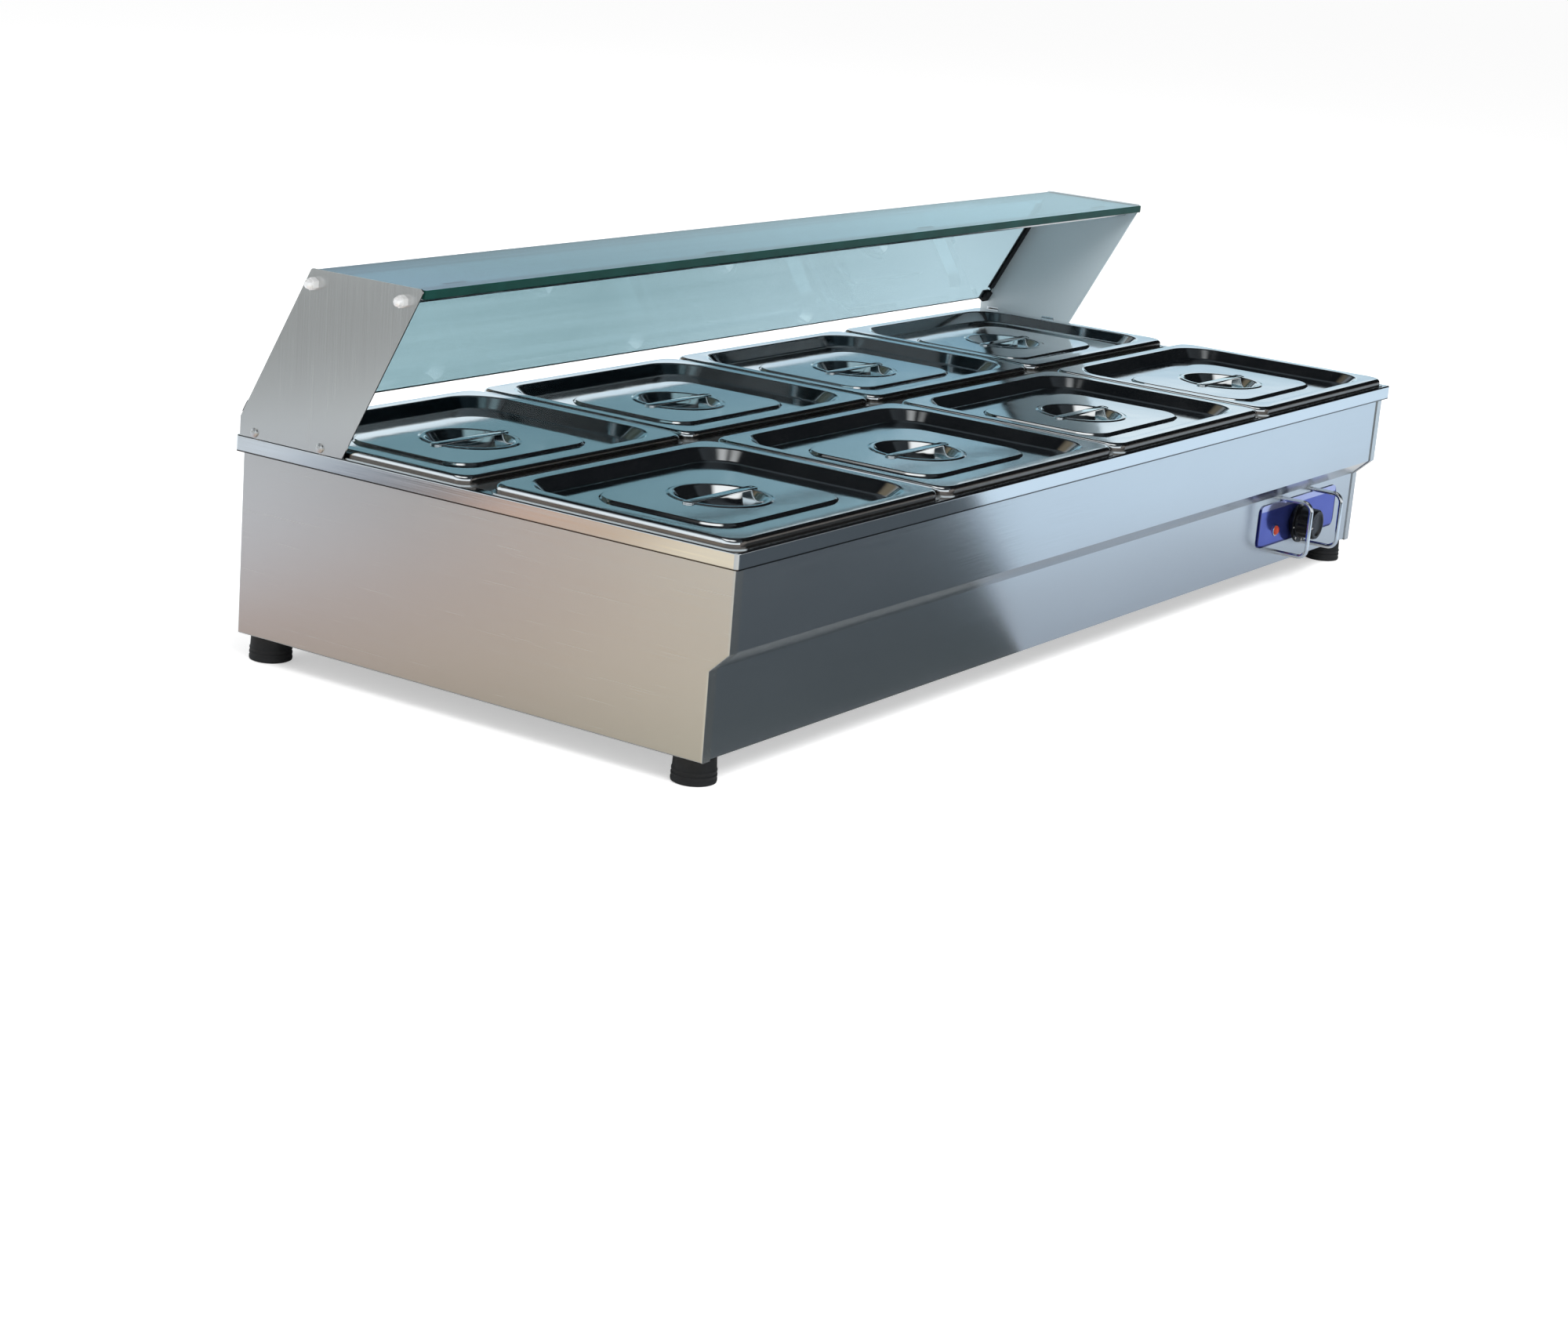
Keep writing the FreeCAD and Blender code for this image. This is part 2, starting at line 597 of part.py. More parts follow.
# Pans and lids, one pair for each place in the deck
def pan_places():
    places = []
    for row in range(ROWS):
        for column in range(COLUMNS):
            x = "%g * (pan_length + pan_gap_along)" % (column - (COLUMNS - 1) / 2)
            y = "rim_front + rim_margin + pan_width / 2 + %d * (pan_width + pan_gap_across)" % row
            places.append((x, y))
    return places


def make_pan(label, x, y):
    """A deep-drawn pan: flat flange, leaning walls, round corners."""
    body = at(new_body(), x, y, "rim_top")
    flange = rounded(new_sketch(body, "XY"), "pan_length", "pan_width", "pan_corner")
    pad(body, flange, "pan_sheet")
    mouth = ("pan_length - 2 * pan_flange", "pan_width - 2 * pan_flange", "pan_wall_corner")
    foot = tuple(size + " - 2 * pan_draft" for size in mouth[:2]) + ("pan_wall_corner - pan_draft",)
    high = rounded(new_sketch(body, "XY", "0"), *mouth)
    low = rounded(new_sketch(body, "XY", "-pan_depth"), *foot)
    loft(body, "Additive", high, low)
    mouth = tuple(size + " - 2 * pan_sheet" for size in mouth[:2]) + ("pan_wall_corner - pan_sheet",)
    foot = tuple(size + " - 2 * pan_sheet" for size in foot[:2]) + (
        "pan_wall_corner - pan_draft - pan_sheet",)
    high = rounded(new_sketch(body, "XY", "pan_sheet"), *mouth)
    low = rounded(new_sketch(body, "XY", "pan_sheet - pan_depth"), *foot)
    hollow = loft(body, "Subtractive", high, low)
    inside = fillet(body, hollow, "pan_floor_round - pan_sheet", level("pan_sheet - pan_depth"))
    fillet(body, inside, "pan_floor_round", level("-pan_depth"))
    node(body, label)


def make_lid(label, x, y):
    """A pressed lid: rolled edge, sunk field, raised panel and a finger dish."""
    body = at(new_body(), x, y, "rim_top + pan_sheet")
    length, width = "pan_length - 2 * lid_inset", "pan_width - 2 * lid_inset"

    def rim(height, inset, corner):
        sketch = new_sketch(body, "XY", height)
        return rounded(sketch, "%s - 2 * (%s)" % (length, inset), "%s - 2 * (%s)" % (width, inset),
                       corner)

    pad(body, rim("0", "0", "lid_corner"), "lid_edge")
    hollow = pocket(body, rim("0", "lid_sheet", "lid_corner - lid_sheet"), "lid_edge - lid_sheet",
                    along=True)
    inside = fillet(body, hollow, "lid_edge_round - lid_sheet", level("lid_edge - lid_sheet"))
    fillet(body, inside, "lid_edge_round", level("lid_edge"))
    floor = "lid_edge - recess_depth"
    loft(body, "Additive",
         rim("lid_edge - lid_sheet", "lid_land - lid_sheet", "recess_corner + lid_sheet"),
         rim(floor + " - lid_sheet", "lid_land + recess_run - lid_sheet",
             "recess_corner - recess_run + lid_sheet"))
    field = loft(body, "Subtractive",
                 rim("lid_edge", "lid_land", "recess_corner"),
                 rim(floor, "lid_land + recess_run", "recess_corner - recess_run"))
    fillet(body, field, "recess_round", level(floor))

    def plateau(height, grow, corner):
        sketch = new_sketch(body, "XY", height)
        return rounded(sketch, "%s - 2 * panel_margin_along + 2 * (%s)" % (length, grow),
                       "%s - 2 * panel_margin_across + 2 * (%s)" % (width, grow), corner)

    loft(body, "Additive",
         plateau(floor + " - lid_sheet / 2", "panel_run", "panel_corner + panel_run"),
         plateau(floor + " + panel_rise", "0", "panel_corner"))
    pocket(body, plateau(floor + " - lid_sheet", "-lid_sheet", "panel_corner - lid_sheet"),
           "panel_rise", along=True)
    top = floor + " + panel_rise"
    turned(body, "Revolution",
           ("0", top + " - lid_sheet / 2"),
           ("dish_radius + dish_lip", top + " - lid_sheet / 2"),
           ("dish_radius + dish_lip_flat", top + " + dish_lip_rise"),
           ("dish_radius", top + " + dish_lip_rise"),
           ("0", top + " + dish_lip_rise"))
    turned(body, "Revolution",
           ("0", top + " - lid_sheet"),
           ("dish_radius + lid_sheet", top + " - lid_sheet"),
           ("dish_floor_radius + lid_sheet", top + " - dish_depth - lid_sheet"),
           ("0", top + " - dish_depth - lid_sheet"))
    bowl = turned(body, "Groove",
                  ("0", top + " + dish_lip_rise + cut_over"),
                  ("dish_radius", top + " + dish_lip_rise + cut_over"),
                  ("dish_radius", top),
                  ("dish_floor_radius", top + " - dish_depth"),
                  ("0", top + " - dish_depth"))
    fillet(body, bowl, "dish_round", level(top + " - dish_depth"))
    notch = rectangle(
        new_sketch(body, "XY", top + " + dish_lip_rise"),
        "-dish_radius - dish_lip - cut_over", "dish_radius + dish_lip + cut_over",
        "-handle_width / 2 - handle_slack", "handle_width / 2 + handle_slack")
    pocket(body, notch, "dish_lip_rise")
    node(body, label)


def make_handle(label, x, y):
    """A strap welded across the finger dish, level with the raised panel."""
    base = "rim_top + pan_sheet + lid_edge - recess_depth + panel_rise"
    body = at(new_body(), x, y, base)
    outline = rounded(new_sketch(body, "XY"), "2 * (dish_radius + handle_overlap)",
                      "handle_width", "handle_corner")
    strap = pad(body, outline, "handle_sheet")
    fillet(body, strap, "handle_edge", level("handle_sheet"))
    node(body, label)


# Food guard: two leaning side panels, two tie rods, a glass shelf and a glass back
def make_guard_panel(label, side):
    body = at(new_body(), "%d * guard_x" % side)
    outline = polygon(
        new_sketch(body, "YZ"),
        ("guard_rear_y", "rim_top"), ("guard_rear_y", "rim_top + guard_kink"),
        ("guard_top_rear", "guard_top"), ("guard_top_front", "guard_top"),
        ("rim_rear - guard_base_width", "rim_top"))
    for depth in ("rod_front_y", "rod_rear_y"):
        circle(outline, depth, "rod_z", "rod_radius + screw_gap")
    for place in ("lug_front_set", "lug_rear_set"):
        circle(outline, "rim_rear - " + place, "rim_top + screw_height", "screw_radius")
    sheet = pad(body, outline, "guard_sheet", back=side > 0)
    fillet(body, sheet, "guard_corner", lambda limits: (
        near(limits.ZMin, "guard_top") and near(limits.ZLength, "0") and near(limits.YLength, "0")))
    node(body, label)


def make_guard_glass():
    shelf = box("-glass_half", "guard_top_front + glass_front_gap", "top_glass_z", "2 * glass_half",
                "rod_rear_y + shelf_overhang - guard_top_front - glass_front_gap", "top_glass")
    edges = DOC.addObject("Part::Chamfer", "chamfer")
    edges.Base = shelf
    DOC.recompute()
    edge = number("glass_edge")
    edges.Edges = [(place, edge, edge) for place in range(1, len(shelf.Shape.Edges) + 1)]
    node(edges, "top_glass")
    pane = box("-glass_half", "0", "0", "2 * glass_half", "back_glass",
               "back_glass_run + back_glass_over")
    node(leaning(pane), "back_glass")


def leaning(item, x="-glass_half", along="0", out="0"):
    """Lay an upright box against the leaning back, from the foot of the glass."""
    y = "back_glass_y + lean_sin * (back_glass_run - (%s)) + lean_cos * (%s)" % (along, out)
    z = "back_glass_low + lean_cos * (%s) + lean_sin * (%s)" % (along, out)
    at(item, x, y, z, (1, 0, 0), number("guard_lean"))
    bind(item, "Placement.Rotation.Angle", "guard_lean")
    return item


def make_guard_fittings():
    rods = [rod("rod_radius", "2 * (guard_x + rod_end)", "-guard_x - rod_end", depth, "rod_z",
                (0, 1, 0), 90) for depth in ("rod_front_y", "rod_rear_y")]
    node(group(*rods), "tie_rods")
    pads = []
    for depth in ("rod_front_y", "rod_rear_y"):
        for share in (-0.9, -0.3, 0.3, 0.9):
            pads.append(box("%g * glass_half - pad_length / 2" % share, depth + " - pad_width / 2",
                            "top_glass_z - pad_height", "pad_length", "pad_width", "pad_height"))
    node(group(*pads), "glass_pads")
    nuts = []
    for side in (-1, 1):
        for depth in ("rod_front_y", "rod_rear_y"):
            nuts.append(cap_nut(side, depth))
    node(group(*nuts), "cap_nuts")
    clips = []
    for side in (-1, 1):
        start = "-guard_x + guard_sheet" if side < 0 else "guard_x - guard_sheet - clip_length"
        block = box("0", "0", "0", "clip_length", "back_glass + 2 * clip_wall", "clip_wall + clip_grip")
        leaning(block, start, "-clip_wall", "-clip_wall")
        slot = box("0", "0", "0", "2 * glass_half", "back_glass", "back_glass_run")
        clips.append(cut(block, leaning(slot)))
    node(group(*clips), "back_glass_clips")
    screws = []
    for side in (-1, 1):
        for place in ("lug_front_set", "lug_rear_set"):
            screws.append(screw("%d * guard_x" % side, "rim_rear - " + place,
                                "rim_top + screw_height", "guard_sheet + lug_sheet + screw_over",
                                (0, 1, 0), 90 * side))
    node(group(*screws), "guard_screws")


def cap_nut(side, depth):
    """A domed nut on the end of a tie rod, outside the guard panel."""
    body = at(new_body(), "%d * guard_x" % side, depth, "rod_z", (0, 1, 0), 90 * side)
    flats = new_sketch(body, "XY")
    corner = "nut_flats / 2 / cos(30)"
    half = "nut_flats / 4 / cos(30)"
    polygon(flats, (corner, "0"), (half, "nut_flats / 2"), ("-" + half, "nut_flats / 2"),
            ("-" + corner, "0"), ("-" + half, "-nut_flats / 2"), (half, "-nut_flats / 2"))
    pad(body, flats, "nut_height")
    turned(body, "Revolution",
           ("0", "0"), ("nut_flats * 0.48", "0"),
           ("nut_flats * 0.48", "nut_height + nut_dome * 0.2"),
           ("nut_flats * 0.4", "nut_height + nut_dome * 0.64"),
           ("nut_flats * 0.22", "nut_height + nut_dome * 0.92"), ("0", "nut_height + nut_dome"))
    turned(body, "Groove",
           ("0", "-cut_over"), ("rod_radius + running_gap", "-cut_over"),
           ("rod_radius + running_gap", "rod_end"), ("0", "rod_end"))
    return body


def screw(x, y, z, length, axis, angle):
    """A screw whose domed head stands on the point and whose shank goes in."""
    body = at(new_body(), x, y, z, axis, angle)
    turned(body, "Revolution",
           ("0", "-(%s)" % length), ("screw_radius - screw_gap", "-(%s)" % length),
           ("screw_radius - screw_gap", "0"), ("screw_head", "0"),
           ("screw_head * 0.9", "screw_head * 0.3"), ("screw_head * 0.5", "screw_head * 0.5"),
           ("0", "screw_head * 0.55"))
    return body


# Controls: plate, knob on its spindle, thermostat, lamp and two bent wires
def make_controls():
    body = at(new_body(), y="panel_y")
    outline = rounded(new_sketch(body, "XZ"), "control_plate_length", "control_plate_height",
                      "control_plate_corner", "control_x", "control_z")
    circle(outline, "knob_x", "knob_z", "bush_radius + hole_gap")
    circle(outline, "lamp_x", "lamp_z", "lamp_body_radius + hole_gap")
    pad(body, outline, "control_plate_sheet")
    node(body, "control_plate")

    knob = at(new_body(), "knob_x", "plate_y - knob_gap", "knob_z", (1, 0, 0), 90)
    turned(knob, "Revolution",
           ("0", "0"), ("knob_radius", "0"), ("knob_radius", "knob_hub"),
           ("knob_skirt_radius", "knob_hub"), ("knob_skirt_radius", "knob_skirt - knob_edge"),
           ("knob_skirt_radius - knob_edge", "knob_skirt"),
           ("knob_radius", "knob_skirt + knob_edge"),
           ("knob_radius - knob_taper", "knob_height - knob_bevel"),
           ("knob_radius - knob_taper - knob_bevel", "knob_height"), ("0", "knob_height"))
    turned(knob, "Groove",
           ("0", "-cut_over"), ("knob_cavity", "-cut_over"), ("knob_cavity", "knob_cavity_depth"),
           ("spindle_radius + running_gap", "knob_cavity_depth"),
           ("spindle_radius + running_gap", "knob_height - knob_end"),
           ("0", "knob_height - knob_end"))
    node(knob, "knob")

    reach = "spindle_root + control_plate_sheet + knob_gap + knob_height - knob_end"
    node(rod("spindle_radius", reach, "knob_x", "panel_y + spindle_root", "knob_z", (1, 0, 0), 90),
         "thermostat_spindle")
    case = box("knob_x - thermostat_size / 2", "panel_y + shell_sheet",
               "knob_z - thermostat_size / 2", "thermostat_size", "thermostat_depth",
               "thermostat_size")
    bush = rod("bush_radius", "shell_sheet + bush_reach + cut_over", "knob_x",
               "panel_y + shell_sheet + cut_over", "knob_z", (1, 0, 0), 90)
    bore = rod("spindle_radius + running_gap",
               "spindle_root + spindle_end_gap + bush_reach + cut_over", "knob_x",
               "panel_y + spindle_root + spindle_end_gap", "knob_z", (1, 0, 0), 90)
    node(cut(fuse(case, bush), bore), "thermostat")

    lamp = at(new_body(), "lamp_x", "plate_y", "lamp_z", (1, 0, 0), 90)
    turned(lamp, "Revolution",
           ("0", "-lamp_body_length"), ("lamp_body_radius", "-lamp_body_length"),
           ("lamp_body_radius", "0"), ("lamp_radius", "0"), ("lamp_radius", "lamp_rim"),
           ("lamp_radius * 0.85", "lamp_dome * 0.75"), ("lamp_radius * 0.4", "lamp_dome"),
           ("0", "lamp_dome"))
    node(lamp, "indicator_lamp")
    node(group(guard_wire(-1), guard_wire(1)), "knob_guards")


def guard_wire(side):
    """A bent wire that stands beside the knob, its ends through the front panel."""
    body = at(new_body(), "knob_x + %d * wire_spread" % side)
    low, high = "knob_z - wire_height / 2", "knob_z + wire_height / 2"
    front, tail = "panel_y - wire_reach", "panel_y + shell_sheet + wire_tail"
    path = new_sketch(body, "YZ")
    bend = number("wire_bend")
    reach, end = number(front), number(tail)
    bottom, top = number(low), number(high)
    up = Vector(0, 0, 1)
    quarter = radians(90)
    path.addGeometry(Part.LineSegment(Vector(end, bottom, 0), Vector(reach + bend, bottom, 0)), False)
    path.addGeometry(Part.ArcOfCircle(
        Part.Circle(Vector(reach + bend, bottom + bend, 0), up, bend), 2 * quarter, 3 * quarter), False)
    path.addGeometry(Part.LineSegment(Vector(reach, bottom + bend, 0), Vector(reach, top - bend, 0)),
                     False)
    path.addGeometry(Part.ArcOfCircle(
        Part.Circle(Vector(reach + bend, top - bend, 0), up, bend), quarter, 2 * quarter), False)
    path.addGeometry(Part.LineSegment(Vector(reach + bend, top, 0), Vector(end, top, 0)), False)
    for pair in ((0, 2, 1, 2), (1, 1, 2, 1), (2, 2, 3, 2), (3, 1, 4, 1)):
        path.addConstraint(Sketcher.Constraint("Tangent", *pair))
    path.addConstraint(Sketcher.Constraint("Horizontal", 0))
    path.addConstraint(Sketcher.Constraint("Vertical", 2))
    path.addConstraint(Sketcher.Constraint("Horizontal", 4))
    path.addConstraint(Sketcher.Constraint("Equal", 1, 3))
    count = path.addConstraint(Sketcher.Constraint("Radius", 1, bend))
    bind(path, "Constraints[%d]" % count, "wire_bend")
    hold(path, "DistanceX", 0, 1, tail)
    hold(path, "DistanceY", 0, 1, low)
    hold(path, "DistanceX", 2, 1, front)
    hold(path, "DistanceX", 4, 2, tail)
    hold(path, "DistanceY", 4, 2, high)
    section = circle(new_sketch(body, "XZ", "-(%s)" % tail), "0", low, "wire_radius")
    pipe = body.newObject("PartDesign::AdditivePipe", "pipe")
    pipe.Profile = section
    pipe.Spine = (path, [])
    collars = new_sketch(body, "XZ", "-(panel_y + shell_sheet)")
    for height in (low, high):
        circle(collars, "0", height, "wire_nut_radius")
    pad(body, collars, "wire_nut", back=True)
    return body


# Heating element: a steel tube that runs round the tank floor and ends below it
def swept_tube(points, bends, tube):
    """A tube through points, with an arc of its own bend radius at each turn."""
    edges = []
    start = points[0]
    for place in range(1, len(points) - 1):
        corner, radius = points[place], bends[place - 1]
        back = (points[place - 1] - corner).normalize()
        ahead = (points[place + 1] - corner).normalize()
        half_turn = back.getAngle(ahead) / 2
        reach = radius / tan(half_turn)
        first, last = corner + back * reach, corner + ahead * reach
        middle = (back + ahead).normalize()
        centre = corner + middle * (radius / sin(half_turn))
        through = centre - middle * radius
        edges.append(Part.LineSegment(start, first).toShape())
        edges.append(Part.Arc(first, through, last).toShape())
        start = last
    edges.append(Part.LineSegment(start, points[-1]).toShape())
    path = Part.Wire(edges)
    way = (points[1] - points[0]).normalize()
    section = Part.Wire([Part.Circle(points[0], way, tube).toShape()])
    return path.makePipeShell([section], True, False)


def make_element():
    """Feature shapes, because the path bends in space: sizes still come from the sheet."""
    level_z = number("tank_floor + tank_sheet + element_lift + element_radius")
    below = number("tank_floor - element_tail")
    far, near_end = -number("element_half_length"), number("element_half_length")
    middle, half = number("centre_y"), number("element_half_width")
    points = [Vector(near_end, middle - half, below), Vector(near_end, middle - half, level_z),
              Vector(far, middle - half, level_z), Vector(far, middle + half, level_z),
              Vector(near_end, middle + half, level_z), Vector(near_end, middle + half, below)]
    tube = DOC.addObject("Part::Feature", "tube")
    tail_bend, bend = number("element_tail_bend"), number("element_bend")
    tube.Shape = swept_tube(points, [tail_bend, bend, bend, tail_bend], number("element_radius"))
    node(tube, "heating_element")
    rests = []
    for share in (-0.8, 0, 0.8):
        for side in (-1, 1):
            rests.append(box("%g * element_half_length - element_rest_width / 2" % share,
                             "centre_y + %d * element_half_width - element_rest_width / 2" % side,
                             "tank_floor + tank_sheet", "element_rest_width",
                             "element_rest_width", "element_lift"))
    node(group(*rests), "element_rests")


def make_bulb():
    """Temperature bulb in the bath, with its thin tube down to the thermostat."""
    top = number("tank_floor + tank_sheet + bulb_lift + bulb_radius")
    x, y = number("bulb_x"), number("bulb_y")
    lead, length = number("capillary_lead"), number("bulb_length")
    end = Vector(number("knob_x"), number("panel_y + shell_sheet + thermostat_depth / 2"),
                 number("case_top"))
    turn = number("(tank_floor + case_top) / 2")
    points = [Vector(x - lead, y, top), Vector(x, y, top), Vector(x, y, turn),
              Vector(end.x, end.y, turn), end]
    tube = swept_tube(points, [number("capillary_bend")] * 3, number("capillary_radius"))
    bulb = Part.makeCylinder(number("bulb_radius"), length, Vector(x - lead - length, y, top),
                             Vector(1, 0, 0))
    item = DOC.addObject("Part::Feature", "bulb")
    item.Shape = tube.fuse(bulb)
    node(item, "thermostat_bulb")


def make_tank_bushes():
    """Hexagon bushes that seal each tube where it leaves the tank floor."""
    bushes = []
    for across, deep, radius in tank_tubes():
        block = hexagon("tank_bush_flats", "tank_bush_height", across, deep,
                        "tank_floor - tank_bush_height")
        bore = rod(radius + " + running_gap", "tank_bush_height + 2 * cut_over", across, deep,
                   "tank_floor - tank_bush_height - cut_over")
        bushes.append(cut(block, bore))
    node(group(*bushes), "tank_bushes")


def make_drain():
    """A pipe welded under the tank floor, closed by a cap below the base plate."""
    pipe = rod("drain_radius", "tank_floor - drain_low", "drain_x", "drain_y", "drain_low")
    bore = rod("drain_bore", "tank_floor - drain_low + 2 * cut_over", "drain_x", "drain_y",
               "drain_low - cut_over")
    node(cut(pipe, bore), "drain_pipe")
    cap = rod("drain_cap_radius", "drain_drop + drain_cap_floor", "drain_x", "drain_y",
              "drain_low - drain_cap_floor")
    socket = rod("drain_radius + running_gap", "drain_drop", "drain_x", "drain_y", "drain_low")
    node(cut(cap, socket), "drain_cap")


# Electrical fittings under the tank
def make_electrics():
    start, rear = "gland_x - terminal_shift", "rear_panel_y - shell_sheet - terminal_set"
    block = box(start, rear, "base_top", "terminal_length", "terminal_width", "terminal_height")
    post = box(start, rear + " + (terminal_width - terminal_post_width) / 2", "base_top",
               "terminal_length", "terminal_post_width", "terminal_post_height")
    node(fuse(block, post), "terminal_block")
    x = "knob_x - cutout_shift"
    disc = rod("cutout_radius", "cutout_height", x, "bulb_y", "tank_floor - cutout_height")
    tags = box(x + " - tag_width / 2", "bulb_y - tag_length / 2",
               "tank_floor - cutout_height - tag_height", "tag_width", "tag_length", "tag_height")
    node(fuse(disc, tags), "overheat_cutout")
    gland = at(new_body(), "gland_x", "rear_panel_y", "gland_z", (1, 0, 0), -90)
    turned(gland, "Revolution",
           ("gland_bore", "-shell_sheet - gland_tail"),
           ("gland_thread", "-shell_sheet - gland_tail"), ("gland_thread", "0"),
           ("gland_radius", "0"), ("gland_radius", "gland_reach * 0.35"),
           ("gland_radius - gland_step", "gland_reach * 0.4"),
           ("gland_radius - gland_step", "gland_reach * 0.8"),
           ("gland_radius - gland_taper", "gland_reach"), ("gland_bore", "gland_reach"))
    node(gland, "cable_gland")


# Feet with their screws
def make_feet():
    feet, screws = [], []
    for x, y in foot_places():
        foot = at(new_body(), x, y)
        turned(foot, "Revolution",
               ("foot_socket", "0"), ("foot_radius - foot_edge", "0"),
               ("foot_radius", "foot_edge"), ("foot_radius - foot_taper", "foot_height"),
               ("foot_spigot", "foot_height"), ("foot_spigot", "foot_height + shell_sheet"),
               ("screw_radius + screw_gap", "foot_height + shell_sheet"),
               ("screw_radius + screw_gap", "foot_socket_depth"),
               ("foot_socket", "foot_socket_depth"))
        feet.append(foot)
        screws.append(screw(x, y, "foot_socket_depth",
                            "base_top - foot_socket_depth + foot_screw_tail", (1, 0, 0), 180))
    node(group(*feet), "feet")
    node(group(*screws), "foot_screws")


make_top_frame()
make_guard_lugs()
make_side_panel("left_side_panel", -1)
make_side_panel("right_side_panel", 1)
make_front_fascia()
make_lower_front_panel()
make_rear_panel()
make_base_plate()
make_water_tank()
make_bars()
for count, (x, y) in enumerate(pan_places(), start=1):
    make_pan("pan_%d" % count, x, y)
    make_lid("lid_%d" % count, x, y)
    make_handle("lid_handle_%d" % count, x, y)
make_guard_panel("guard_panel_left", -1)
make_guard_panel("guard_panel_right", 1)
make_guard_glass()
make_guard_fittings()
make_controls()
make_element()
make_bulb()
make_tank_bushes()
make_drain()
make_electrics()
make_feet()
DOC.recompute()

# Every object must be sound before anything is written
for item in DOC.Objects:
    if "Invalid" in item.State or "Error" in item.State:
        raise RuntimeError("%s (%s) failed: %s" % (item.Name, item.Label, item.State))
for item in NODES:
    if item.Shape.isNull() or not item.Shape.isValid():
        raise RuntimeError("%s has no sound shape" % item.Label)

os.makedirs("parts", exist_ok=True)
for item in NODES:
    item.Shape.exportStep("parts/%s.step" % item.Label)
print("%d nodes written" % len(NODES))
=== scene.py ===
import math

import bpy
from mathutils import Matrix, Vector


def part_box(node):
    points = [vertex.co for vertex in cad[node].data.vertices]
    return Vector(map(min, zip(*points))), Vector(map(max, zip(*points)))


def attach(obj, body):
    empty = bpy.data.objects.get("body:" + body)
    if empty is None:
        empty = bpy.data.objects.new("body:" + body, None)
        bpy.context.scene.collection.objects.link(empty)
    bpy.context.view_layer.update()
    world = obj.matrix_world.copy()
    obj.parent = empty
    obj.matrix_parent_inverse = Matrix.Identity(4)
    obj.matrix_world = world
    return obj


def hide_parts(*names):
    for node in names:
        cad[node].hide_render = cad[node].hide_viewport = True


# Countertop bain-marie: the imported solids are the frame, and each section below dresses or
# builds one group of its pieces. Metres, +X to the right, +Y to the rear, +Z up.
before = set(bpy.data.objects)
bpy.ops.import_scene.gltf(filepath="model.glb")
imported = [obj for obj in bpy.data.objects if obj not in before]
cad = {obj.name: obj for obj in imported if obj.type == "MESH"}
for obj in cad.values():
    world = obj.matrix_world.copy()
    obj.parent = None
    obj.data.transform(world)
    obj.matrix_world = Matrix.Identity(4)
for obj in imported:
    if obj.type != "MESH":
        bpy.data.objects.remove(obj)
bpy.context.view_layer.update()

# Camera
# It stands off the left end of the front, a little above the guard, as the photograph was
# taken: its place and aim come from a fit of the rim and the guard to the picture.
CAMERA_PLACE = (-2.6505, -1.6218, 0.7830)
CAMERA_RIGHT = Vector((0.5609, -0.8240, 0.0797))
CAMERA_UP = Vector((0.1770, 0.2134, 0.9608))
CAMERA_LENS = 70.1
CAMERA_REACH = 60

bpy.ops.object.camera_add(location=CAMERA_PLACE)
camera = bpy.context.object
back = CAMERA_RIGHT.cross(CAMERA_UP)
camera.rotation_euler = Matrix((CAMERA_RIGHT, CAMERA_UP, back)).transposed().to_euler()
camera.data.sensor_width = 36
camera.data.lens = CAMERA_LENS
camera.data.clip_end = CAMERA_REACH
bpy.context.scene.camera = camera


# Shell
# Folded sheets of 1.2 mm stainless steel, brushed on a belt before they were cut: the grit
# leaves fine straight lines along the length of each sheet and a soft, streaky shine.
GRIT_LINE = 0.0009  # real lines are six times finer, and wouldn't show
GRIT_RUN = 0.16
GRIT_DEPTH = 0.00003
GRIT_DULL = 0.08
ROLLING_CLOUD = 0.3


def colour(code):
    """An sRGB hex code as the linear colour that a shader takes."""
    parts = [int(code[place:place + 2], 16) / 255 for place in (1, 3, 5)]
    return [part / 12.92 if part < 0.04045 else ((part + 0.055) / 1.055) ** 2.4
            for part in parts] + [1]


def add_node(tree, kind, inputs, **settings):
    """Adds a node. Its inputs are given by name or number, as values or as other outputs."""
    made = tree.nodes.new("ShaderNode" + kind)
    for name, value in settings.items():
        setattr(made, name, value)
    for name, value in inputs.items():
        if isinstance(value, bpy.types.NodeSocket):
            tree.links.new(value, made.inputs[name])
        else:
            made.inputs[name].default_value = value
    return made


def new_material(name, **finish):
    """A material with its plain values set on the shader, and the point it is seen at."""
    material = bpy.data.materials.new(name)
    material.use_nodes = True
    tree = material.node_tree
    shader = tree.nodes["Principled BSDF"]
    for socket, value in finish.items():
        shader.inputs[socket.replace("_", " ")].default_value = value
    return material, tree, shader, add_node(tree, "TexCoord", {}).outputs["Object"]


def mottled(name, scale, detail, dark, pale, dull=None, relief=None, **finish):
    """A material between two tones and, where they are given, two roughnesses and a relief."""
    material, tree, shader, place = new_material(name, **finish)
    grain = add_node(tree, "TexNoise", {"Vector": place, "Scale": scale,
                                        "Detail": detail}).outputs[0]
    tint = add_node(tree, "Mix", {0: grain, 6: colour(dark), 7: colour(pale)}, data_type="RGBA")
    tree.links.new(tint.outputs[2], shader.inputs["Base Color"])
    if dull:
        shine = add_node(tree, "MapRange", {0: grain, 3: dull[0], 4: dull[1]})
        tree.links.new(shine.outputs[0], shader.inputs["Roughness"])
    if relief:
        pits = add_node(tree, "Bump", {"Strength": relief[0], "Distance": relief[1],
                                       "Height": grain})
        tree.links.new(pits.outputs[0], shader.inputs["Normal"])
    return material


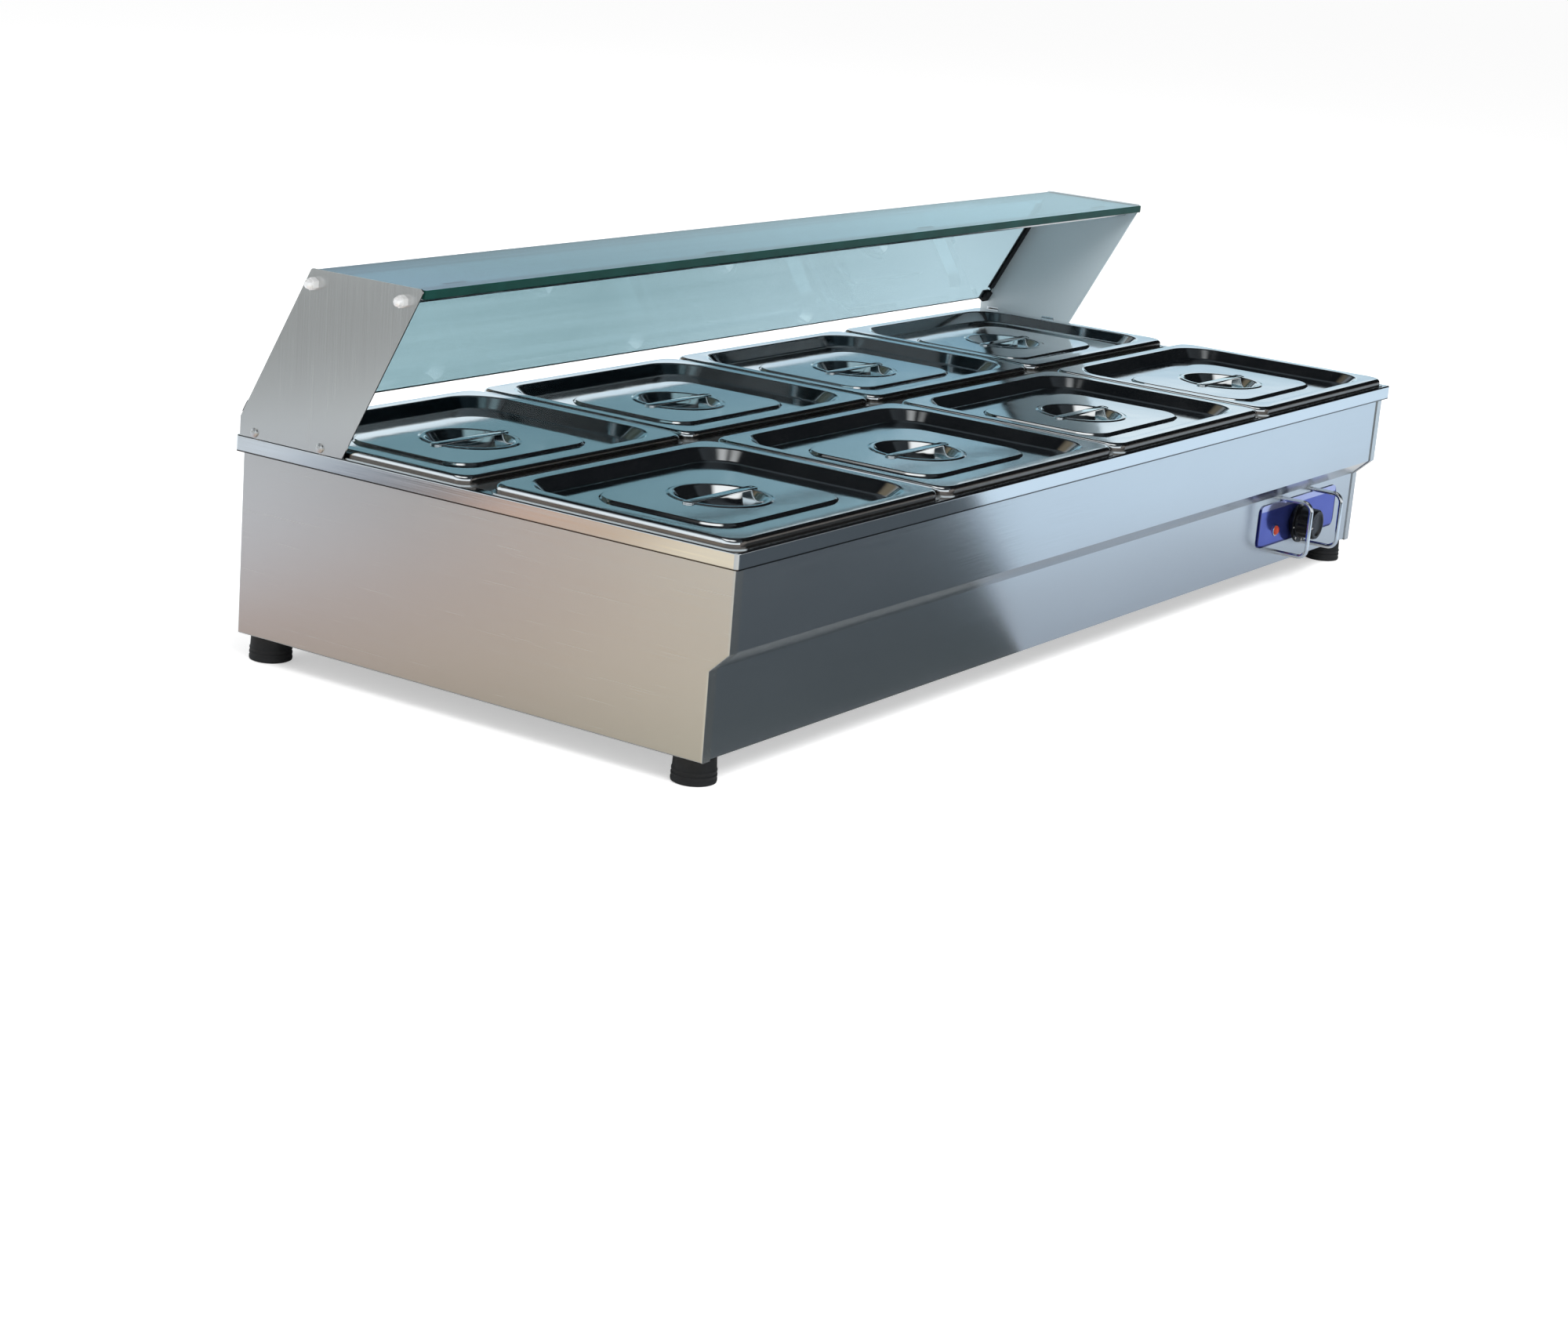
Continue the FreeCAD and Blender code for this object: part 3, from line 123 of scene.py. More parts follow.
def brushed_steel(name, pale, dark, grain, shine, cut=0.1, **finish):
    """Stainless sheet with grit lines cut along one axis, from a shine to a little duller."""
    finish = {"Metallic": 1.0, "Anisotropic": 0.7, "Anisotropic_Rotation": 0.25, **finish}
    material, tree, shader, place = new_material(name, **finish)
    scale = [1 / GRIT_LINE] * 3
    scale["XYZ".index(grain)] = 1 / GRIT_RUN
    lines = add_node(tree, "Mapping", {"Vector": place, "Scale": scale})
    grit = add_node(tree, "TexNoise", {"Vector": lines.outputs[0], "Scale": 1.0, "Detail": 5.0,
                                       "Roughness": 0.7})
    cloud = add_node(tree, "TexNoise", {"Vector": place, "Scale": 1 / ROLLING_CLOUD,
                                        "Detail": 2.0})
    both = add_node(tree, "Mix", {0: 0.35, 2: cloud.outputs[0], 3: grit.outputs[0]})
    tint = add_node(tree, "Mix", {0: both.outputs[0], 6: colour(dark), 7: colour(pale)},
                    data_type="RGBA")
    tree.links.new(tint.outputs[2], shader.inputs["Base Color"])
    dull = add_node(tree, "MapRange", {0: grit.outputs[0], 1: 0.3, 2: 0.7, 3: shine,
                                       4: shine + GRIT_DULL})
    tree.links.new(dull.outputs[0], shader.inputs["Roughness"])
    relief = add_node(tree, "Bump", {"Strength": cut, "Distance": GRIT_DEPTH,
                                     "Height": grit.outputs[0]})
    tree.links.new(relief.outputs[0], shader.inputs["Normal"])
    return material


def dress(material, *names):
    """Gives CAD nodes their material."""
    for name in names:
        cad[name].data.materials.clear()
        cad[name].data.materials.append(material)


# The front sheets are tinted a little bluer than the sides, a painted reflection of the pale sky
# the front mirrors.
front_steel = brushed_steel("brushed_stainless_front", "#D3D7DA", "#C6CACD", "X", 0.16)
side_steel = brushed_steel("brushed_stainless_side", "#D3D3D1", "#C6C6C4", "Y", 0.2)
rim_steel = brushed_steel("brushed_stainless_rim", "#DDE0E2", "#D0D4D6", "Y", 0.07, 0)

# The lower edge of the rim's collar is painted dark: painted shade of the gap under the collar.
COLLAR_SHADE_LINE = 0.1958, 0.1966
tree = rim_steel.node_tree
shader = tree.nodes["Principled BSDF"]
rise = add_node(tree, "SeparateXYZ", {0: tree.nodes["Texture Coordinate"].outputs["Object"]})
above = add_node(tree, "MapRange", {0: rise.outputs[2], 1: COLLAR_SHADE_LINE[0], 2: COLLAR_SHADE_LINE[1]})
plain = shader.inputs["Base Color"].links[0].from_socket
tint = add_node(tree, "Mix", {0: above.outputs[0], 6: colour("#3A3431"), 7: plain},
                data_type="RGBA")
tree.links.new(tint.outputs[2], shader.inputs["Base Color"])
dress(rim_steel, "top_frame", "guard_lugs")
dress(front_steel, "front_fascia", "lower_front_panel", "rear_panel")
dress(side_steel, "left_side_panel", "right_side_panel")

# Inside steelwork
# Tank, bars, base plate and drain pipe are the same stainless as it comes from the mill:
# grey, a little cloudy and not brushed, because nobody sees it.
mill_steel = mottled("mill_stainless", 28.0, 6.0, "#A9ACAD", "#C6C8C8", (0.28, 0.5), Metallic=1.0)
dress(mill_steel, "base_plate", "water_tank", "centre_bar", "cross_bars", "element_rests",
      "drain_pipe")

# Pans
# Half-size pans drawn from 0.8 mm stainless: smooth and bright, with faint drawing marks
# that run down the walls.
DRAWN_MARKS = 420, 420, 14

pan_steel, tree, shader, place = new_material("drawn_stainless", Metallic=1.0)
marks = add_node(tree, "Mapping", {"Vector": place, "Scale": DRAWN_MARKS})
drawn = add_node(tree, "TexNoise", {"Vector": marks.outputs[0], "Scale": 1.0, "Detail": 3.0})
tint = add_node(tree, "Mix", {0: drawn.outputs[0], 6: colour("#C9CDCD"), 7: colour("#DDE0E0")},
                data_type="RGBA")
tree.links.new(tint.outputs[2], shader.inputs["Base Color"])
dull = add_node(tree, "MapRange", {0: drawn.outputs[0], 3: 0.12, 4: 0.26})
tree.links.new(dull.outputs[0], shader.inputs["Roughness"])
dress(pan_steel, *["pan_%d" % place for place in range(1, 9)])

# Lids
# Each lid is pressed from one 0.8 mm sheet and polished: a rolled edge, a flat land, a sunk
# field, a low raised panel and a dish for the fingers. One is built, and the rest are copies.
ROW_FRONT, ROW_REAR = -0.14025, 0.14475
COLUMN_STEP = 0.328
LID_LENGTH, LID_WIDTH = 0.320, 0.260
LID_SHEET = 0.0008
SKIRT_FOOT, LID_TOP, FIELD, PANEL_TOP = 0.2108, 0.2183, 0.2073, 0.2098
LIP_TOP, DISH_FLOOR = 0.2108, 0.1958
CROWN = 0.0001  # no flat is quite level, and two level outlines bridge badly
CORNER_STEPS = 15
RING = 4 * (CORNER_STEPS + 1)
WIDEST_BEND = 0.009

# How far each outline lies inside the edge along and across, its corner radius, its height
# and the bend there; then the radius, height and bend of the round ones.
LID_OUTLINES = [
    (0, 0, 0.014, SKIRT_FOOT, 0), (0, 0, 0.014, LID_TOP, 0.0045),
    (0.014, 0.014, 0.042, LID_TOP - CROWN, 0.0016), (0.026, 0.026, 0.032, FIELD, 0.0022),
    (0.063, 0.056, 0.028, FIELD + CROWN, 0.0006), (0.065, 0.058, 0.026, PANEL_TOP, 0.0009)]
DISH_OUTLINES = [
    (0.048, PANEL_TOP + CROWN, 0.0006), (0.0456, LIP_TOP, 0.0006), (0.042, LIP_TOP - CROWN, 0.0012),
    (0.0286, DISH_FLOOR, 0.009)]


def alone(piece):
    """Selects one piece and nothing else."""
    bpy.ops.object.select_all(action="DESELECT")
    piece.select_set(True)
    bpy.context.view_layer.objects.active = piece


def settle(piece):
    """Moves a piece's place into its mesh."""
    alone(piece)
    bpy.ops.object.transform_apply(location=True, rotation=True, scale=True)


def finished(piece, name, material, body, slot, *replaced):
    """Names a piece, gives it its material and body, and says what it stands for."""
    settle(piece)
    piece.name = name
    piece.data.name = name
    if material is not None:
        piece.data.materials.clear()
        piece.data.materials.append(material)
    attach(piece, body)
    if replaced:
        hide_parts(*replaced)


def with_modifier(piece, kind, **settings):
    """Adds a modifier and applies it."""
    alone(piece)
    made = piece.modifiers.new(kind.title(), kind)
    for name, value in settings.items():
        setattr(made, name, value)
    bpy.ops.object.modifier_apply(modifier=made.name)


def rounded_plate(length, width, corner, height, steps=CORNER_STEPS):
    """A flat face with rounded corners."""
    bpy.ops.object.select_all(action="DESELECT")
    bpy.ops.mesh.primitive_plane_add(size=1, location=(0, 0, height))
    plate = bpy.context.object
    plate.scale = (length, width, 1)
    settle(plate)
    bpy.ops.object.mode_set(mode="EDIT")
    bpy.ops.mesh.select_all(action="SELECT")
    bpy.ops.mesh.bevel(offset=corner, offset_type="OFFSET", segments=steps, affect="VERTICES")
    bpy.ops.object.mode_set(mode="OBJECT")
    return plate


def only_outline(plate):
    """Leaves the outline of a flat face."""
    alone(plate)
    bpy.ops.object.mode_set(mode="EDIT")
    bpy.ops.mesh.select_all(action="SELECT")
    bpy.ops.mesh.delete(type="ONLY_FACE")
    bpy.ops.object.mode_set(mode="OBJECT")
    return plate


def pick(piece, chosen):
    """Selects the vertices of a mesh whose place or number passes a test."""
    mesh = piece.data
    for part in (mesh.polygons, mesh.edges):
        part.foreach_set("select", [False] * len(part))
    for vertex in mesh.vertices:
        vertex.select = bool(chosen(vertex))
    bpy.context.tool_settings.mesh_select_mode = (True, False, False)


def thickened(plate, sheet):
    """Gives a flat face a thickness."""
    alone(plate)
    bpy.ops.object.mode_set(mode="EDIT")
    bpy.ops.mesh.select_all(action="SELECT")
    bpy.ops.mesh.extrude_region_move(TRANSFORM_OT_translate={"value": (0, 0, sheet)})
    bpy.ops.object.mode_set(mode="OBJECT")


def outward(piece):
    """Turns the faces of a mesh outwards."""
    alone(piece)
    bpy.ops.object.mode_set(mode="EDIT")
    bpy.ops.mesh.select_all(action="SELECT")
    bpy.ops.mesh.normals_make_consistent(inside=False)
    bpy.ops.object.mode_set(mode="OBJECT")


def smooth(piece, angle=35):
    """Smooth shading, with edges sharper than an angle kept."""
    alone(piece)
    bpy.ops.object.shade_smooth_by_angle(angle=math.radians(angle))


def laid_on(pressing, outline):
    """Joins the next outline to the pressing, with a band of faces up to it."""
    first = len(pressing.data.vertices) - RING
    alone(pressing)
    outline.select_set(True)
    bpy.ops.object.join()
    pick(pressing, lambda vertex: vertex.index >= first)
    bpy.ops.object.mode_set(mode="EDIT")
    bpy.ops.mesh.bridge_edge_loops()
    bpy.ops.object.mode_set(mode="OBJECT")


outlines = [only_outline(rounded_plate(LID_LENGTH - 2 * along, LID_WIDTH - 2 * across, corner,
                                       height))
            for along, across, corner, height, _ in LID_OUTLINES]
for radius, height, _ in DISH_OUTLINES:
    bpy.ops.mesh.primitive_circle_add(vertices=RING, radius=radius, location=(0, 0, height))
    settle(bpy.context.object)
    outlines.append(bpy.context.object)
lid = outlines[0]
for outline in outlines[1:]:
    laid_on(lid, outline)
pick(lid, lambda vertex: vertex.index >= RING * (len(outlines) - 1))
bpy.ops.object.mode_set(mode="EDIT")
bpy.ops.mesh.edge_face_add()
bpy.ops.object.mode_set(mode="OBJECT")
outward(lid)
if lid.data.polygons[-1].normal.z < 0:
    bpy.ops.object.mode_set(mode="EDIT")
    bpy.ops.mesh.flip_normals()
    bpy.ops.object.mode_set(mode="OBJECT")

bends = [row[-1] for row in LID_OUTLINES + DISH_OUTLINES]
weights = lid.data.attributes.new("bevel_weight_edge", "FLOAT", "EDGE")
for edge in lid.data.edges:
    rings = {number // RING for number in edge.vertices}
    if len(rings) == 1:
        weights.data[edge.index].value = bends[rings.pop()] / WIDEST_BEND
with_modifier(lid, "BEVEL", width=WIDEST_BEND, segments=4, limit_method="WEIGHT",
              use_clamp_overlap=False)
with_modifier(lid, "SOLIDIFY", thickness=LID_SHEET, offset=-1)
smooth(lid, 40)
with_modifier(lid, "WEIGHTED_NORMAL", weight=80, keep_sharp=True)

STRAP_LENGTH, STRAP_WIDTH, STRAP_SHEET = 0.106, 0.010, 0.0015
STRAP_CORNER, STRAP_EDGE = 0.004, 0.0005
STRAP_STEPS = 8
WELD_SET, WELD_SIZE, WELD_RISE = 0.047, 0.0022, 0.0003
WELD_TAPER = 0.7

strap = rounded_plate(STRAP_LENGTH, STRAP_WIDTH, STRAP_CORNER, PANEL_TOP, STRAP_STEPS)
thickened(strap, STRAP_SHEET)
with_modifier(strap, "BEVEL", width=STRAP_EDGE, segments=3, limit_method="ANGLE",
              angle_limit=math.radians(60))
outward(strap)
smooth(strap, 40)

for side in (-1, 1):
    bpy.ops.object.select_all(action="DESELECT")
    bpy.ops.mesh.primitive_circle_add(vertices=16, radius=WELD_SIZE, fill_type="NGON",
                                      location=(side * WELD_SET, 0, PANEL_TOP + STRAP_SHEET))
    weld = bpy.context.object
    settle(weld)
    thickened(weld, WELD_RISE)
    bpy.ops.object.mode_set(mode="EDIT")
    bpy.ops.transform.resize(value=(WELD_TAPER, WELD_TAPER, 1))
    bpy.ops.object.mode_set(mode="OBJECT")
    outward(weld)
    alone(strap)
    weld.select_set(True)
    bpy.ops.object.join()

# Polished stainless: nearly a mirror, a little wavy where the press stretched the sheet.
lid_steel, tree, shader, place = new_material("polished_stainless", Metallic=1.0)
stain = add_node(tree, "TexNoise", {"Vector": place, "Scale": 14.0, "Detail": 4.0})
tint = add_node(tree, "Mix", {0: stain.outputs[0], 6: colour("#E2E8EA"), 7: colour("#F2F5F6")},
                data_type="RGBA")
tree.links.new(tint.outputs[2], shader.inputs["Base Color"])
dull = add_node(tree, "MapRange", {0: stain.outputs[0], 1: 0.3, 2: 0.7, 3: 0.06, 4: 0.11})
tree.links.new(dull.outputs[0], shader.inputs["Roughness"])
wave = add_node(tree, "TexNoise", {"Vector": place, "Scale": 22.0, "Detail": 1.0})
relief = add_node(tree, "Bump", {"Strength": 0.12, "Distance": 0.0012,
                                 "Height": wave.outputs[0]})
tree.links.new(relief.outputs[0], shader.inputs["Normal"])

# The skirt below the rolled edge is painted darker, painted shade of the gap beside the rim, and in
# front the roll above it is painted dark too, painted shade standing for the dark reflection there.
SKIRT_LEAN, SHADED_ROLL_LEAN = 0.1, 0.6
OUT_OF_DISH = 0.1
FRONT_EDGE = 0.002 - LID_WIDTH / 2

shaded_skirt_steel = mottled("painted_shade_skirt", 60.0, 4.0, "#6A645F", "#7E7873", Metallic=1.0,
                      Roughness=0.2)
for piece in (lid, strap):
    piece.data.materials.append(lid_steel)
lid.data.materials.append(shaded_skirt_steel)
for face in lid.data.polygons:
    shaded_roll = face.normal.y < -0.5 and face.center.y < FRONT_EDGE
    steep = abs(face.normal.z) < (SHADED_ROLL_LEAN if shaded_roll else SKIRT_LEAN) or face.normal.z < -0.9
    face.material_index = int(steep and face.center.xy.length > OUT_OF_DISH)

for number in range(1, 9):
    row, column = divmod(number - 1, 4)
    spot = ((column - 1.5) * COLUMN_STEP, (ROW_FRONT, ROW_REAR)[row], 0)
    for pattern, name in ((lid, "lid"), (strap, "lid_handle")):
        twin = pattern.copy()
        twin.data = pattern.data.copy()
        bpy.context.collection.objects.link(twin)
        twin.location = spot
        finished(twin, "%s_pressing_%d" % (name, number), None, "lid_body_%d" % number,
                 "lid_steel", "%s_%d" % (name, number))
for pattern in (lid, strap):
    bpy.data.objects.remove(pattern)

# Food guard
# Two leaning end plates carry a glass shelf and a leaning rear pane on two steel rods with
# domed nuts. The glass is toughened float glass, and its ground edges show deep green.
plate_steel = brushed_steel("brushed_stainless_guard", "#D0D1D0", "#C9CAC9", "Z", 0.2, 0.02,
                            Anisotropic_Rotation=0.0)
# The right end plate is painted near white and not metallic: a painted reflection of the pale
# surroundings its stainless mirrors.
pale_guard_steel = brushed_steel("painted_reflection_stainless", "#F0FBFF", "#E4F4FC", "Z", 0.3, 0.02,
                           Anisotropic_Rotation=0.0, Metallic=0.0)
dress(plate_steel, "guard_panel_left", "guard_screws")
dress(pale_guard_steel, "guard_panel_right")
bright_steel = mottled("bright_plated_steel", 900.0, 2.0, "#D3D6D9", "#EDEEF0", (0.08, 0.18),
                       Metallic=1.0)
dress(bright_steel, "tie_rods", "foot_screws", "knob_guards", "heating_element",
      "thermostat_spindle")
nut_steel = mottled("nickel_plated_nut", 400.0, 2.0, "#E6E7E8", "#F7F7F6", Metallic=0.4,
                    Roughness=0.25)
dress(nut_steel, "cap_nuts")

SHELF_LOW, SHELF_HIGH = Vector((-0.6552, 0.06775, 0.364)), Vector((0.6552, 0.19575, 0.372))
PANE_SHEET, PANE_LEAN = 0.005, math.atan(79 / 145.5)
PANE_LOW, PANE_HIGH = Vector((-0.6552, 0.19585, 0.2310)), Vector((0.6552, 0.27167, 0.36493))

# The panes are tinted darker towards the left end, a painted reflection of the dim teal they mirror
# there, with long faint cloth streaks over the darker part.
STREAKS = 1.5, 70, 70
DIM_TINT_TO, PALE_TINT_FROM = -0.2, 0.5
PANE_SEAM, FLAT_ENOUGH = 0.0006, 0.99

clear_glass, tree, shader, place = new_material(
    "float_glass", Transmission_Weight=1.0, IOR=1.5, Roughness=0.0)
streaks = add_node(tree, "Mapping", {"Vector": place, "Scale": STREAKS})
smear = add_node(tree, "TexNoise", {"Vector": streaks.outputs[0], "Scale": 1.0, "Detail": 3.0})
along = add_node(tree, "SeparateXYZ", {0: place})
pale_share = add_node(tree, "MapRange", {0: along.outputs[0], 1: DIM_TINT_TO, 2: PALE_TINT_FROM})
dim_streaks = add_node(tree, "Mix", {0: smear.outputs[0], 6: colour("#74929A"), 7: colour("#93B0B7")},
                 data_type="RGBA")
tint = add_node(tree, "Mix", {0: pale_share.outputs[0], 6: dim_streaks.outputs[2], 7: colour("#A9C4CE")},
                data_type="RGBA")
tree.links.new(tint.outputs[2], shader.inputs["Base Color"])
edge_glass = mottled("ground_glass_edge", 30.0, 4.0, "#04241F", "#0D4740", IOR=1.3, Roughness=0.3)


def glass_pane(name, size, place, lean, flat):
    """A pane with seamed edges: clear on its two faces, green all round."""
    bpy.ops.object.select_all(action="DESELECT")
    bpy.ops.mesh.primitive_cube_add(size=1)
    pane = bpy.context.object
    pane.scale = size
    settle(pane)
    with_modifier(pane, "BEVEL", width=PANE_SEAM, segments=1, limit_method="ANGLE")
    pane.data.materials.append(clear_glass)
    pane.data.materials.append(edge_glass)
    for face in pane.data.polygons:
        face.material_index = int(abs(face.normal[flat]) < FLAT_ENOUGH)
    pane.rotation_euler = (lean, 0, 0)
    pane.location = place
    finished(pane, name, None, "chassis", "guard_glass", name.replace("_pane", ""))


pane_run = (PANE_HIGH.z - PANE_LOW.z - PANE_SHEET * math.sin(PANE_LEAN)) / math.cos(PANE_LEAN)
glass_pane("top_glass_pane", SHELF_HIGH - SHELF_LOW, (SHELF_LOW + SHELF_HIGH) / 2, 0, 2)
glass_pane("back_glass_pane", (PANE_HIGH.x - PANE_LOW.x, PANE_SHEET, pane_run),
           (PANE_LOW + PANE_HIGH) / 2, PANE_LEAN, 1)

# Rubber
# Pads, clips and feet are moulded black rubber: matt, a little dusty and pitted.
rubber = mottled("moulded_rubber", 160.0, 6.0, "#08090A", "#17181A", (0.5, 0.75), (0.3, 0.0002),
                 IOR=1.5)
dress(rubber, "glass_pads", "back_glass_clips")

# A flat strip seals each side edge of the rear pane, in front and behind, above its clip.
SEAL_WIDTH, SEAL_SHEET = 0.010, 0.0012
SEAL_LOW, SEAL_HIGH = 0.2450, 0.3500
SEAL_CORNER, SEAL_EDGE = 0.0015, 0.0004
SEAL_STEPS = 4

pane_middle = (PANE_LOW + PANE_HIGH) / 2
seal_middle = (SEAL_LOW + SEAL_HIGH) / 2 - pane_middle.z
seal_run = (SEAL_HIGH - SEAL_LOW) / math.cos(PANE_LEAN)
for end, side in (("left", -1), ("right", 1)):
    for face, turn in (("front", -1), ("rear", 1)):
        seal = rounded_plate(SEAL_WIDTH, seal_run, SEAL_CORNER, 0, SEAL_STEPS)
        thickened(seal, SEAL_SHEET)
        outward(seal)
        with_modifier(seal, "BEVEL", width=SEAL_EDGE, segments=2, limit_method="ANGLE",
                      angle_limit=math.radians(60))
        seal.rotation_euler = (PANE_LEAN - turn * math.pi / 2, 0, 0)
        out = Vector((0, math.cos(PANE_LEAN), math.sin(PANE_LEAN))) * turn * PANE_SHEET / 2
        slope = -math.tan(PANE_LEAN)
        seal.location = (side * (PANE_HIGH.x - SEAL_WIDTH / 2),
                         pane_middle.y + seal_middle * slope + out.y,
                         pane_middle.z + seal_middle + out.z)
        finished(seal, "pane_seal_%s_%s" % (end, face), rubber, "chassis", "black_rubber")

# Feet: moulded with three grip rings round a tapered body, hollow below for the screw.
FOOT_REACH = 0.020
feet_low, feet_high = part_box("feet")
FOOT_PLACES = [(across, deep) for across in (feet_low[0] + FOOT_REACH, feet_high[0] - FOOT_REACH)
               for deep in (feet_low[1] + FOOT_REACH, feet_high[1] - FOOT_REACH)]


def turned(profile, steps=64):
    """Turns a profile of (radius, height) about Z, and closes it at both ends."""
    bpy.ops.object.select_all(action="DESELECT")
    radius, height = profile[0]
    bpy.ops.mesh.primitive_circle_add(vertices=steps, radius=radius, fill_type="NGON",
                                      location=(0, 0, height))
    made = bpy.context.object
    settle(made)
    bpy.ops.object.mode_set(mode="EDIT")
    bpy.ops.mesh.select_all(action="SELECT")
    for begin, end in zip(profile, profile[1:]):
        rise = (0, 0, end[1] - begin[1])
        bpy.ops.mesh.extrude_region_move(TRANSFORM_OT_translate={"value": rise})
        bpy.ops.transform.resize(value=(end[0] / begin[0], end[0] / begin[0], 1))
    bpy.ops.object.mode_set(mode="OBJECT")
    outward(made)
    return made


FOOT_PROFILE = [(0.0028, 0.012), (0.006, 0.012), (0.006, 0), (0.0185, 0), (0.0197, 0.0006),
                (0.0200, 0.0018), (0.0200, 0.0034), (0.0195, 0.0042), (0.0195, 0.0056),
                (0.0199, 0.0062), (0.0199, 0.0076), (0.0193, 0.0084), (0.0193, 0.0098),
                (0.0197, 0.0104), (0.0197, 0.0118), (0.0191, 0.0126), (0.0186, 0.0232),
                (0.0178, 0.024), (0.009, 0.024), (0.009, 0.0252), (0.0028, 0.0252)]
pattern = turned(FOOT_PROFILE)
smooth(pattern)
for number, (across, deep) in enumerate(FOOT_PLACES):
    foot = pattern.copy()
    foot.data = pattern.data.copy()
    bpy.context.collection.objects.link(foot)
    foot.location = (across, deep, 0)
    finished(foot, "foot_%d" % (number + 1), rubber, "chassis", "black_rubber",
             *(["feet"] if number == 0 else []))
bpy.data.objects.remove(pattern)

# Controls
# A face plate of blue anodised aluminium, bright enough to mirror the knob, a phenolic knob with
# a printed skirt, a neon lamp in a plated bezel, and two bent wires that guard the knob.
plate_low, plate_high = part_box("control_plate")
knob_low, knob_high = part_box("knob")
lamp_low, lamp_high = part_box("indicator_lamp")
knob_middle = ((knob_low[0] + knob_high[0]) / 2, knob_high[1], (knob_low[2] + knob_high[2]) / 2)
PLATE_SHADED_EDGE, PLATE_HIGHLIGHT_BAND = 0.0022, 0.007

plate_blue, tree, shader, place = new_material("anodised_blue_plate", Metallic=0.85, Roughness=0.1)
spot = add_node(tree, "SeparateXYZ", {0: place}).outputs
shade = add_node(tree, "TexNoise", {"Vector": place, "Scale": 40.0, "Detail": 3.0})
tint = add_node(tree, "Mix", {0: shade.outputs[0], 6: colour("#4250AE"), 7: colour("#5A68C0")},
                data_type="RGBA")
# The top of the plate is painted lavender, a painted highlight, and its left, right and bottom
# edges are painted dark, a painted shade.
highlight_band = add_node(tree, "Math", {0: spot[2], 1: plate_high[2] - PLATE_HIGHLIGHT_BAND},
                operation="GREATER_THAN")
tint = add_node(tree, "Mix", {0: highlight_band.outputs[0], 6: tint.outputs[2], 7: colour("#B4BAE6")},
                data_type="RGBA")
for axis, edge, side in ((0, plate_low[0] + PLATE_SHADED_EDGE, "LESS_THAN"),
                         (0, plate_high[0] - PLATE_SHADED_EDGE, "GREATER_THAN"),
                         (2, plate_low[2] + PLATE_SHADED_EDGE, "LESS_THAN")):
    shaded_edge = add_node(tree, "Math", {0: spot[axis], 1: edge}, operation=side)
    tint = add_node(tree, "Mix", {0: shaded_edge.outputs[0], 6: tint.outputs[2],
                                  7: colour("#1A1F66")}, data_type="RGBA")
tree.links.new(tint.outputs[2], shader.inputs["Base Color"])
dress(plate_blue, "control_plate")

black_plastic = mottled("black_phenolic", 300.0, 3.0, "#020203", "#08080B", (0.14, 0.3), IOR=1.32)
white_print = mottled("white_print", 800.0, 4.0, "#C9CACC", "#F2F2F0", IOR=1.5, Roughness=0.5)

KNOB_STEPS = 96
KNOB_PROFILE = [(0.0032, 0.0225), (0.013, 0.0150), (0.013, 0), (0.0175, 0), (0.018, 0.0005),
                (0.018, 0.0045), (0.0229, 0.0045), (0.0235, 0.0051), (0.0235, 0.0072),
                (0.0229, 0.0078), (0.0186, 0.0080), (0.0180, 0.0086), (0.0178, 0.0100),
                (0.0172, 0.0240), (0.0170, 0.0255), (0.0162, 0.0265), (0.0148, 0.0270),
                (0.0125, 0.0269), (0.0115, 0.0262), (0.0020, 0.0260)]
# Where the flutes begin and end, how many there are, how deep, and the radius they start from
GRIP_FLUTES = 0.0099, 0.0256, 8, 0.0014, 0.0165


def facing_front(piece, spot, name, material, body, slot, *replaced):
    """Lays a piece that was turned about Z on its back, so that its top faces the front."""
    settle(piece)
    piece.rotation_euler = (math.pi / 2, 0, 0)
    piece.location = spot
    finished(piece, name, material, body, slot, *replaced)


def flute(piece, low, high, count, depth, radius):
    """Presses every other stretch of a turned piece's side in, for the fingers."""
    for vertex in piece.data.vertices:
        across, deep, rise = vertex.co
        if low <= rise <= high and math.hypot(across, deep) > radius:
            wave = 0.5 + 0.5 * math.cos(count * math.atan2(deep, across))
            share = 1 - depth * wave ** 2 / math.hypot(across, deep)
            vertex.co = (across * share, deep * share, rise)


knob_piece = turned(KNOB_PROFILE, KNOB_STEPS)
flute(knob_piece, *GRIP_FLUTES)
smooth(knob_piece)
facing_front(knob_piece, knob_middle, "knob_moulding", black_plastic, "control_knob",
             "knob_plastic", "knob")


def skirt_mark(name, made, angle, radius, height):
    """Lays a flat mark on the knob at an angle from straight up, and turns it to face outwards."""
    made.rotation_euler = (0, 0, -angle)
    made.location = (radius * math.sin(angle), radius * math.cos(angle), height)
    facing_front(made, knob_middle, name, white_print, "control_knob", "knob_plastic")


def printed(made):
    """Gives a flat mark the thickness of its ink."""
    alone(made)
    bpy.ops.object.convert(target="MESH")
    with_modifier(made, "SOLIDIFY", thickness=INK, offset=0)
    return made


INK = 0.00008
OFF_ANGLE = math.radians(-100)
DIAL = ((0, "0"), (45, "30"), (90, "45"), (135, "60"), (180, "75"), (225, "90"), (270, "110"))
NUMBER_SIZE, NUMBER_RADIUS, SKIRT_FACE = 0.0034, 0.0210, 0.0079
POINTER_WIDTH, POINTER_LENGTH, POINTER_CORNER = 0.0012, 0.005, 0.0005
POINTER_RADIUS, GRIP_FACE = 0.0145, 0.0269

